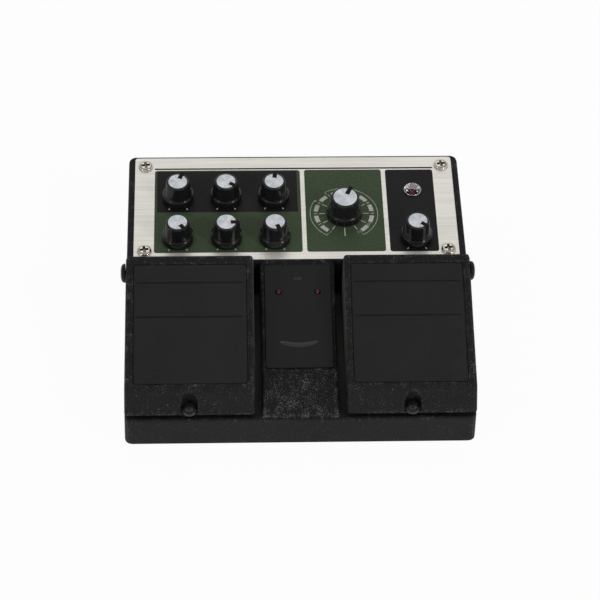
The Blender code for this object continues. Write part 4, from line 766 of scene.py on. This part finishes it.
# %% Printed fields
FILM = 0.01
FIRST_INK, SECOND_INK, THIRD_INK = 0.03, 0.05, 0.07
CUP_SPOT = (61.1, 46.5)


def ink_film(name, outlines, finish, height):
    """Fill closed outlines on the plate as one thin film; outlines inside others become holes."""
    curve = bpy.data.curves.new(f"print_{name}", "CURVE")
    curve.dimensions = "2D"
    curve.fill_mode = "BOTH"
    curve.extrude = FILM * MM
    for outline in outlines:
        add_line(curve, [(x, y, 0) for x, y in outline]).use_cyclic_u = True
    dress(f"print_{name}", drawn(curve, finish), PANEL @ shift(0, 0, height), "chassis", sharp=20)


ink_film("header_line", [oblong(-72.3, 72.4, 61.92, 62.88)], BLACK_INK, FIRST_INK)
ink_film("tone_field", [oblong(-72.2, 3.05, 4.7, 61.2, 1.4)], GREEN_INK, FIRST_INK)
ink_film("tone_block", [oblong(-70.9, 1.35, 32.1, 60.6, 0.5)], BLACK_INK, SECOND_INK)
ink_film("mode_field", [oblong(5.3, 45.3, 4.8, 61.3, 1.4)], GREEN_INK, FIRST_INK)
ink_film("peak_field", [oblong(47.5, 72.3, 4.6, 61.1, 1.4), circle(4.3, *CUP_SPOT)], BLACK_INK, FIRST_INK)
print("printed fields on the plate")

# %% [markdown]
# ## Dial marks
# Each small knob has two short marks in front of it for the ends of its travel. The mode switch has a full
# dial: twelve lines a twelfth of a turn apart, a ring of grey blocks between its numbers, and two thin
# outer arcs with bracket ends. Angles are counted clockwise from the rear, as on a clock.

# %% Dial geometry
DIAL_SPOT = (24.9, 30.6)


def clock(spot, angle, radius):
    """A point at a clock angle and radius round a spot on the plate."""
    turn = math.radians(angle)
    return spot[0] + radius * math.sin(turn), spot[1] + radius * math.cos(turn)


def spoke(spot, angle, inner, outer, width):
    """Outline of a short line that points at the spot."""
    turn = math.radians(angle)
    side = (math.cos(turn) * width / 2, -math.sin(turn) * width / 2)
    (x0, y0), (x1, y1) = clock(spot, angle, inner), clock(spot, angle, outer)
    return [(x0 - side[0], y0 - side[1]), (x0 + side[0], y0 + side[1]),
            (x1 + side[0], y1 + side[1]), (x1 - side[0], y1 - side[1])]


def arc_band(spot, start, stop, inner, outer):
    """Outline of part of a ring."""
    steps = max(2, int((stop - start) / 4))
    angles = [start + (stop - start) * i / steps for i in range(steps + 1)]
    return [clock(spot, a, outer) for a in angles] + [clock(spot, a, inner) for a in reversed(angles)]


# %% Dial and travel marks
# Where each knob stands on the plate, and the clock angle of its pointer.
KNOBS = {
    "upper_left": (-60.1, 41.7, 23), "upper_middle": (-35.5, 41.7, 123), "upper_right": (-10.9, 41.7, 7),
    "lower_left": (-60.1, 14.0, 143), "lower_middle": (-35.5, 14.0, 93), "lower_right": (-10.9, 14.0, 158),
    "input": (61.1, 14.0, 129), "mode": (25.1, 30.3, 25),
}
travel_marks = [spoke((x, y), angle, 8.15, 9.2, 0.5)
                for name, (x, y, _) in KNOBS.items() if name != "mode" for angle in (148, 212)]
ink_film("travel_marks", travel_marks, PALE_INK, THIRD_INK)
dial_lines = [spoke(DIAL_SPOT, 30 * i, 9.8, 12.7, 0.38) for i in range(12) if i != 6]
dial_lines.append(spoke(DIAL_SPOT, 180, 9.8, 15.4, 0.42))
ink_film("dial_lines", dial_lines, PALE_INK, SECOND_INK)
dial_blocks = [arc_band(DIAL_SPOT, 216 + 30 * i, 234 + 30 * i, 13.3, 15.5) for i in range(10)]
ink_film("dial_blocks", dial_blocks, GREY_INK, SECOND_INK)
dial_arcs = []
for start, stop in ((212, 302), (327.5, 507)):
    dial_arcs.append(arc_band(DIAL_SPOT, start, stop, 17.25, 17.5))
    dial_arcs += [spoke(DIAL_SPOT, end, 15.9, 17.3, 0.25) for end in (start, stop)]
ink_film("dial_arcs", dial_arcs, GREY_INK, SECOND_INK)
print("dial lines:", len(dial_lines), "blocks:", len(dial_blocks))


# %% Dial numbers
def dial_number(number, angle):
    text = bpy.data.curves.new(f"dial_number_{number}", "FONT")
    text.body = str(number)
    text.size = 2.3 * MM
    text.align_x = "CENTER"
    text.align_y = "CENTER"
    text.extrude = FILM * MM
    text.materials.append(GREY_INK)
    sign = add_object(text.name, text)
    sign.matrix_world = PANEL @ shift(*clock(DIAL_SPOT, angle, 14.4), SECOND_INK) @ rotation(-angle)
    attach(sign, "chassis")


for number in range(1, 12):
    dial_number(number, 180 + 30 * number)
print("dial numbers 1 to 11")

# %% [markdown]
# ## Knobs
# A knob is a smooth black body: a round rim about the cap, a side that widens downwards, and a full shoulder
# over the skirt. It is an outline spun about the shaft. A satin pointer bar lies in its top and sticks out a
# little at the side. The silver cap is a disc with a notch that the bar fills, so the pointer shows as a
# black mark. Seven knobs share one mesh and one cap, and the mode knob is the same shape with a larger
# radius.

# %% Knob shapes
KNOB_TOP = 13.0
SKIRT_RADIUS = 8.0
SIDE_LINE = [(4.97, 12.9), (5.4, 12.86), (5.72, 12.6), (5.95, 12.0), (6.15, 10.8), (6.38, 9.2), (6.63, 7.6),
             (6.84, 6.2), (7.0, 5.25), (7.15, 4.8), (7.5, 4.5), (7.83, 4.17), (7.97, 3.65),
             (SKIRT_RADIUS, 2.9), (SKIRT_RADIUS, 1.5)]


def knob_mesh(grown, name):
    """Knob body; the larger knob has the same outline moved outwards."""
    line = [(r + grown, z) for r, z in flowing(SIDE_LINE)]
    outline = [(3.15, 3.8), (3.15, 10.9), (0, 10.9), (0, 12.4), (line[0][0], 12.4)] + line
    outline += [(SKIRT_RADIUS + grown, 0.5), (6.9 + grown, 0.5), (5.6 + grown, 3.8)]
    bm = turned(outline, 96)
    whole = len(bm.faces)
    slab(oblong(-1.0, 1.0, 2.3, 6.75 + grown, 0.4, 3), 6.5, KNOB_TOP, bm)
    bm.faces.ensure_lookup_table()
    for face in bm.faces[whole:]:
        face.material_index = 1
    return to_mesh(bm, name, KNOB_GLOSS, POINTER_SATIN)


def cap_mesh(radius, name):
    """Disc with a notch for the pointer bar."""
    half, notch_end = 1.08, 2.2
    opening = math.degrees(math.asin(half / radius))
    outline = arc(radius, 90 + opening, 450 - opening, 72) + [(half, notch_end), (-half, notch_end)]
    return to_mesh(slab(outline, KNOB_TOP - 0.5, KNOB_TOP), name, CAP_METAL)


SMALL_SHAPES = knob_mesh(0.0, "small_knob"), cap_mesh(4.82, "small_cap")
MODE_SHAPES = knob_mesh(1.2, "mode_knob"), cap_mesh(6.02, "mode_cap")
print("knob and cap faces:", [len(mesh.polygons) for mesh in SMALL_SHAPES])

# %% Knobs in place
for name, (x, y, pointer) in KNOBS.items():
    knob, cap = MODE_SHAPES if name == "mode" else SMALL_SHAPES
    place, body = PANEL @ shift(x, y, 0) @ rotation(-pointer), f"knob_{name}"
    round_edges(dress(f"knob_piece_{name}", knob, place, body, [f"knob_{name}"]), 0.12, 3)
    round_edges(dress(f"cap_piece_{name}", cap, place, body, [f"cap_{name}"]), 0.1)
print("knobs:", len(KNOBS))

# %% [markdown]
# ## Screws with a cross recess
# The plate is held by four pan-head screws. The head is turned, and then two tapered bars are cut out of
# it at right angles, which is how a driver's tip fits. The cut faces get a dark brown metal: painted shade
# in the recess.

# %% Panel screws
SCREW_X, SCREW_ROWS = 77.0, (("front", 5.8), ("rear", 64.0))


def pan_head(radius, height):
    crown = [(radius, 0.35), (radius * 0.97, height * 0.5), (radius * 0.85, height * 0.78),
             (radius * 0.55, height * 0.96), (0.01, height)]
    return [(0, 0.1), (radius, 0.1)] + flowing(crown, 4) + [(0, height)]


def cross_recess(piece, place, span, width, top, depth, finish):
    for degrees in (8, 98):
        bar = slab(oblong(-span / 2, span / 2, -width / 2, width / 2), top - depth, top + 1)
        for vert in bar.verts:
            if vert.co.z < top:
                vert.co.x *= 0.45
                vert.co.y *= 0.5
        carve(piece, bar, place @ rotation(degrees), finish)


for row, y in SCREW_ROWS:
    for side, sign in SIDES:
        place, name = PANEL @ shift(sign * SCREW_X, y, 0), f"plate_screw_{row}_{side}"
        head = turned(pan_head(3.7, 1.7))
        screw = make_piece(f"{name}_head", head, SCREW_METAL, place, "chassis", [name])
        cross_recess(screw, place, 6.0, 1.8, 1.7, 1.3, RECESS_PAINTED_SHADE)
        round_edges(screw, 0.2)
print("four panel screws")

# %% [markdown]
# ## Peak light and status lights
# The peak light sits at the bottom of a polished cup, like a small reflector. The cup is turned with a
# rolled rim and a dish, and the light is a resin dome. Because the cup is polished, its look comes from what
# it reflects, so its curve matters more than its colour. Two more domes stand in the centre cover.

# %% Lights
LIGHT_X, LIGHT_Y = 9.75, -17.0
CUP_BORE, CUP_FOOT = 2.1, -6.0


def light_dome(radius, bottom, top):
    outline = [(0, bottom), (radius, bottom)] + arc(radius, 0, 81, 9, 0, top - radius) + [(0, top)]
    return turned(outline, 40)


cup_place = PANEL @ shift(*CUP_SPOT, 0)
rim = flowing([(4.6, 0.15), (4.55, 0.6), (4.38, 0.84), (4.18, 0.8), (4.0, 0.5), (3.35, -0.3), (2.7, -1.1),
               (CUP_BORE, -2.0)])
cup_outline = [(3.7, CUP_FOOT), (3.7, 0.1), (4.6, 0.1)] + rim + [(CUP_BORE, CUP_FOOT)]
make_piece("peak_cup", turned(cup_outline, 120), CUP_METAL, cup_place, "chassis", ["peak_led_cup"])
make_piece("peak_dome", light_dome(2.05, CUP_FOOT, -0.9), RED_LENS, cup_place, "chassis", ["peak_led"])
for side, sign in SIDES:
    make_piece(f"status_dome_{side}", light_dome(1.5, -2.9, 1.7), RED_LENS,
               RIDGE @ shift(sign * LIGHT_X, LIGHT_Y, 0), "chassis", [f"status_led_{side}"])
print("peak light and two status lights")

# %% [markdown]
# ## Tread pads
# Each treadle carries a moulded rubber pad. Its edge slopes down over two millimetres all round, and two
# shallow channels with sloping sides run across it. The solid has a narrow bevel and square channels, so a
# pad with the true edge stands for it: a skin over three outlines, the last one drawn in, from which a
# tapered bar is cut for each channel.

# %% Tread pads
def tread_pad(side, sign):
    front, rear, top = -68.2, -5.4, 0.95
    x0, x1 = sorted((sign * 26.0, sign * 81.58))
    rings = []
    for inset, corner, height in ((0, 1.2, -0.65), (0, 1.2, -0.15), (2.1, 0.4, top)):
        outline = oblong(x0 + inset, x1 - inset, front + inset, rear - inset, corner)
        rings.append([(x, y, height) for x, y in outline])
    pad = make_piece(f"pad_{side}", loft(rings), PAD_RUBBER, TREAD, f"treadle_{side}",
                     [f"tread_pad_{side}"])
    for middle in (rear - 10.0, rear - 28.2):
        bar = slab(oblong(x0 - 1, x1 + 1, middle - 0.75, middle + 0.75), top - 0.5, 1.6)
        for vert in bar.verts:
            if vert.co.z < top:
                vert.co.y = middle + (vert.co.y - middle) * 0.25
        carve(pad, bar, TREAD, PAD_RUBBER, 50)
    round_edges(pad, 0.25)


for side, sign in SIDES:
    tread_pad(side, sign)
print("two pads")

# %% [markdown]
# ## Centre cover
# The cover over the ridge is a thin moulded plate with two holes for the lights, a slot for the power lens
# and a curved finger scoop. The solid has the scoop as a flat-bottomed groove. Here it gets a hollow
# section, deepest along its middle, because a hollow catches the light from behind on its front wall.

# %% Centre cover
def scoop_tool(half, start, sag, width, depth, top):
    """A curved trough: one row of points across for each place along it, closed above the cover."""
    rings = []
    for i in range(33):
        u = i / 16 - 1
        end = min(1.0, (1 - abs(u)) * 6 + 0.1)
        middle = -start - sag * (1 - u * u)
        wide = width * (0.78 + 0.22 * (1 - u * u)) * (0.4 + 0.6 * end)
        ring = []
        for k in range(13):
            v = k / 6 - 1
            ring.append((half * u, middle + wide * v / 2, top - depth * end * (1 - v * v)))
        rings.append(ring + [(half * u, middle + wide / 2, top + 1), (half * u, middle - wide / 2, top + 1)])
    return loft(rings)


COVER_TOP = 0.5
cover = make_piece("centre_cover_plate", slab(oblong(-16.6, 16.6, -58.7, -1.9, 1.0), -0.9, COVER_TOP),
                   COVER_SATIN, RIDGE, "chassis", ["centre_cover"])
holes = [circle(1.65, sign * LIGHT_X, LIGHT_Y) for _, sign in SIDES] + [oblong(-2.4, 2.4, -10.55, -8.45)]
for hole in holes:
    carve(cover, slab(hole, -2, 2), RIDGE, COVER_SATIN)
# The scoop's faces take the lighter satin: a painted sheen over a real higher gloss.
carve(cover, scoop_tool(9.4, 44.85, 1.6, 2.65, 0.75, COVER_TOP), RIDGE, SCOOP_PAINTED_SHEEN, 30)
round_edges(cover, 0.15)
print("cover faces:", len(cover.data.polygons))

# %% [markdown]
# ## Hinge pins and thumbscrews
# A long pin runs through each treadle's ears, with a domed head outside the body. At the front edge of each
# treadle a thumbscrew sits in a well: a glossy black button with a raised ring, a full dome and a coin slot.
# Both are turned pieces that stand for simpler solids.

# %% Hinge pins
PIN_Y, PIN_Z, PIN_START = -7.4, 48.0, 22.7
SKIN = 86.5 - 0.018 * 46.0 + 0.3  # the body's side at the pin's height, and the gap under the pin's head
for side, sign in SIDES:
    head = flowing([(4.8, SKIN + 0.25), (4.7, SKIN + 0.95), (4.0, SKIN + 1.75), (2.6, SKIN + 2.2),
                    (1.5, SKIN + 2.3)])
    outline = [(0, PIN_START), (1.6, PIN_START), (1.6, SKIN), (4.8, SKIN)] + head
    outline += [(1.5, SKIN + 1.1), (0, SKIN + 1.1)]
    make_piece(f"hinge_pin_{side}_turned", turned(outline), PIN_STEEL,
               shift(0, PIN_Y, PIN_Z) @ rotation(sign * 90, "Y"), f"hinge_{side}",
               [f"hinge_pin_{side}"])
print("two hinge pins")

# %% Thumbscrews
for side, sign in SIDES:
    place = shift(sign * 54.45, -74.6, 22.6)
    crown = flowing([(3.8, 0.35), (3.8, 1.3), (3.55, 1.75), (3.1, 1.8), (2.85, 1.7)], 4)
    dome = flowing([(2.65, 1.8), (2.2, 2.75), (1.3, 3.4), (0.01, 3.6)], 4)
    outline = [(0, -5.0), (0.6, -5.0), (1.2, -4.0), (1.2, 0.15), (3.8, 0.15)] + crown + dome + [(0, 3.6)]
    screw = make_piece(f"thumbscrew_{side}_turned", turned(outline), BLACK_STEEL, place, f"thumbscrew_{side}",
                       [f"thumbscrew_{side}"])
    carve(screw, slab(oblong(-3.0, 3.0, -0.45, 0.45), 2.7, 5.0), place, BLACK_STEEL)
print("two thumbscrews")

# %% [markdown]
# ## Return springs
# A round wire wound on a post pushes each treadle up. It is a curve with a thickness, and its end coils
# lie closed as on a real compression spring. It is pressed together when the treadle goes down.

# %% Springs
SPRING_X, SPRING_Y, SPRING_FOOT = 78.05, -46.0, 25.3


def spring_line(x):
    """Points along the wire: a closed coil at each end, and open ones between them."""
    turns, steps, radius, low, high, rest = 4.5, 28, 2.9, 25.75, 35.05, 1.2
    points = []
    for i in range(int(turns * steps) + 1):
        turn = i / steps
        share = min(max((turn - 1) / (turns - 2), 0), 1)
        z = low + rest * min(turn, 1) + (high - low - 2 * rest) * share + rest * max(turn - turns + 1, 0)
        angle = 2 * math.pi * turn
        points.append((x + radius * math.cos(angle), SPRING_Y + radius * math.sin(angle), z))
    return points


for side, sign in SIDES:
    name = f"spring_wire_{side}"
    mesh = wire(name, spring_line(sign * SPRING_X), 0.45, 4, ZINC)
    spring = dress(name, mesh, Matrix.Identity(4), "chassis", [f"press_spring_{side}"], sharp=80)
    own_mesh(spring)
print("two springs")

# %% [markdown]
# ## Jack nuts and bottom screws
# At the rear, each jack's bush comes through the wall and is held by a washer and a hexagonal nut. Under
# the pedal, six screws hold the bottom cover in round cut-outs of the rubber. These are small fasteners, so
# they are made here and not in the frame.

# %% Rear fasteners
JACKS = {"output_left": -63.0, "output_right": -42.0, "control": -18.0,
         "input_left": 42.0, "input_right": 63.0}
BUSH, NUT_FLATS = 4.85, 12.4
for name, x in JACKS.items():
    place = shift(x, 77.0, 19.0) @ rotation(-90, "X")
    washer = turned([(BUSH, 0.02), (7.2, 0.02), (7.2, 0.4), (BUSH, 0.4)])
    round_edges(make_piece(f"jack_washer_{name}", washer, NICKEL, place, "chassis"), 0.1)
    hexagon = slab(circle(NUT_FLATS / math.sqrt(3), steps=6), 0.42, 1.85)
    nut = make_piece(f"jack_nut_{name}", hexagon, NICKEL, place, "chassis")
    carve(nut, slab(circle(BUSH), -0.58, 2.85), place, NICKEL)
    round_edges(nut, 0.2)
print("jack nuts:", len(JACKS))

# %% Bottom screws
# Two screws go into posts at mid depth, and four into posts straight below the plate's screws.
spots = [(sign * SCREW_X, -36.0) for _, sign in SIDES]
for _, y in SCREW_ROWS:
    spots += [(sign * SCREW_X, (PANEL @ shift(0, y, -2.6)).translation.y / MM) for _, sign in SIDES]
for index, (x, y) in enumerate(spots):
    place = shift(x, y, 2.35) @ rotation(180, "X")
    screw = make_piece(f"bottom_screw_{index}", turned(pan_head(2.8, 1.5), 48), ZINC, place, "chassis")
    cross_recess(screw, place, 3.2, 0.8, 1.5, 0.9, ZINC)
print("bottom screws:", len(spots))

# %% [markdown]
# ## Battery contacts
# With a treadle open, the bay under it shows three coil contacts at its front wall and three flat ones at
# its rear wall. The coils are cones of wire, wide at the wall. They are drawn as one curve each and kept
# short, so that the space for the cells stays free.

# %% Battery contacts
FIRST_CELL, CELL_STEP, CELL_HEIGHT = 34.65, 14.9, 19.1
FRONT_WALL, REAR_WALL = -65.9, -12.82


def coil_line(x):
    """Points along a coil that narrows away from the front wall."""
    turns, steps = 3.5, 70
    points = []
    for i in range(steps + 1):
        share = i / steps
        radius = 3.4 - 2.0 * share
        angle = 2 * math.pi * turns * share
        points.append((x + radius * math.cos(angle), FRONT_WALL + 2.6 * share,
                       CELL_HEIGHT + radius * math.sin(angle)))
    return points


for side, sign in SIDES:
    for index in range(3):
        x = sign * (FIRST_CELL + CELL_STEP * index)
        name = f"{side}_{index}"
        mesh = wire(f"contact_coil_{name}", coil_line(x), 0.3, 3, NICKEL)
        dress(f"contact_coil_{name}", mesh, Matrix.Identity(4), "chassis", sharp=80)
        wall = shift(x, REAR_WALL, CELL_HEIGHT) @ rotation(90, "X")
        plate = slab(oblong(-4.5, 4.5, -4.0, 4.0, 0.8), 0.0, 0.35)
        make_piece(f"contact_plate_{name}", plate, NICKEL, wall, "chassis")
        button = turned([(0, 0.35), (2.0, 0.35), (1.7, 0.75), (0, 0.8)], 32)
        make_piece(f"contact_button_{name}", button, NICKEL, wall, "chassis")
print("battery contacts drawn")

# %% [markdown]
# ## Floor, backdrop and light
# The photograph has a plain white ground. The floor here is a wide pale sheet with a raised rim, so that a
# low camera sees it too. Rays from the camera, from gloss and through glass see it glow, which makes it
# white; all other light falls on it as on any sheet. It is clear from below and for rays that start right
# above it, so that the pedal's underside can be looked at too. Four soft lamps do the rest: one behind for
# the plate, one at each side for the highlights on the knobs, and a weak one in front.

# %% Floor and backdrop
GLOW, CLEAR_BELOW = 0.96, 2.5


def mix_shaders(share, first, second):
    return feed_row(add_node("MixShader", share), share, first, second)[0]


def floor_material():
    made = bpy.data.materials.new("pale_floor")
    made.use_nodes = True
    tree = made.node_tree
    tree.nodes.clear()
    place = tree.nodes.new("ShaderNodeTexCoord").outputs["Object"]
    ray = tree.nodes.new("ShaderNodeLightPath").outputs
    seen = calc("MAXIMUM", calc("MAXIMUM", ray["Is Camera Ray"], ray["Is Glossy Ray"]),
                ray["Is Transmission Ray"])
    pale = blend_colors(noise(place, 3.0), (0.9, 0.9, 0.9, 1), (0.94, 0.94, 0.94, 1))
    sheet = feed_all(tree.nodes.new("ShaderNodeBsdfDiffuse"), Color=pale)[0]
    glow = feed_all(tree.nodes.new("ShaderNodeEmission"), Color=(1, 1, 1, 1), Strength=1.0)[0]
    lit = mix_shaders(times(seen, GLOW), sheet, glow)
    behind = tree.nodes.new("ShaderNodeNewGeometry").outputs["Backfacing"]
    close = calc("LESS_THAN", ray["Ray Length"], CLEAR_BELOW * MM)
    clear = tree.nodes.new("ShaderNodeBsdfTransparent").outputs[0]
    end = tree.nodes.new("ShaderNodeOutputMaterial")
    feed_all(end, Surface=mix_shaders(calc("MAXIMUM", behind, close), lit, clear))
    return made


def floor_sheet():
    """A disc whose rim curves up, with sizes in metres; its faces look up and inwards."""
    line = [(0, 0), (3.2, 0)] + arc(0.8, -81, 0, 9, 3.2, 0.8) + [(4.0, 1.5)]
    mesh = to_mesh(turned(line, 64, closed=False), "floor", floor_material(), unit=1.0)
    if mesh.polygons[0].normal.z < 0:
        mesh.flip_normals()
    floor = add_object("floor", mesh)
    floor.location.z = -0.03 * MM
    floor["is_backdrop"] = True


floor_sheet()
print("floor ready")


# %% Lamps and sky
def soft_lamp(name, place, size, radiance):
    """Square lamp aimed at the pedal; its strength is given as how bright it looks."""
    data = bpy.data.lights.new(name, "AREA")
    data.shape = "SQUARE"
    data.size = size
    data.energy = radiance * math.pi * size * size
    lamp = add_object(name, data)
    lamp.location = place
    lamp.rotation_mode = "QUATERNION"
    lamp.rotation_quaternion = (Vector((0, 0, 0.02)) - Vector(place)).to_track_quat("-Z", "Y")
    lamp.visible_camera = False


soft_lamp("rear_lamp", (0.0, 1.3, 1.6), 1.3, 0.8)
soft_lamp("right_lamp", (1.25, -0.95, 1.25), 0.28, 29.0)
soft_lamp("left_lamp", (-1.3, -0.9, 1.2), 0.28, 12.0)
soft_lamp("front_lamp", (0.0, -1.9, 0.55), 0.9, 0.4)
SKY, SKY_SEEN = 0.4, 1.0
sky = bpy.data.worlds.new("studio")
sky.use_nodes = True
tree = sky.node_tree
looked_at = tree.nodes.new("ShaderNodeLightPath").outputs["Is Camera Ray"]
feed_all(tree.nodes["Background"], Color=(1.0, 1.0, 1.0, 1.0),
         Strength=calc("MULTIPLY_ADD", looked_at, SKY_SEEN - SKY, SKY))
scene.world = sky
print("four soft lamps")

# %% [markdown]
# ## The size of the pedal
# The dressed pedal should fill the same box as its solids. Both boxes are printed.

# %% Print both boxes and finish
shown_box = [list(corner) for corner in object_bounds()]
for name, (low, high) in (("solids", cad_box), ("dressed", shown_box)):
    print(name, [round((b - a) / MM, 2) for a, b in zip(low, high)], "mm")
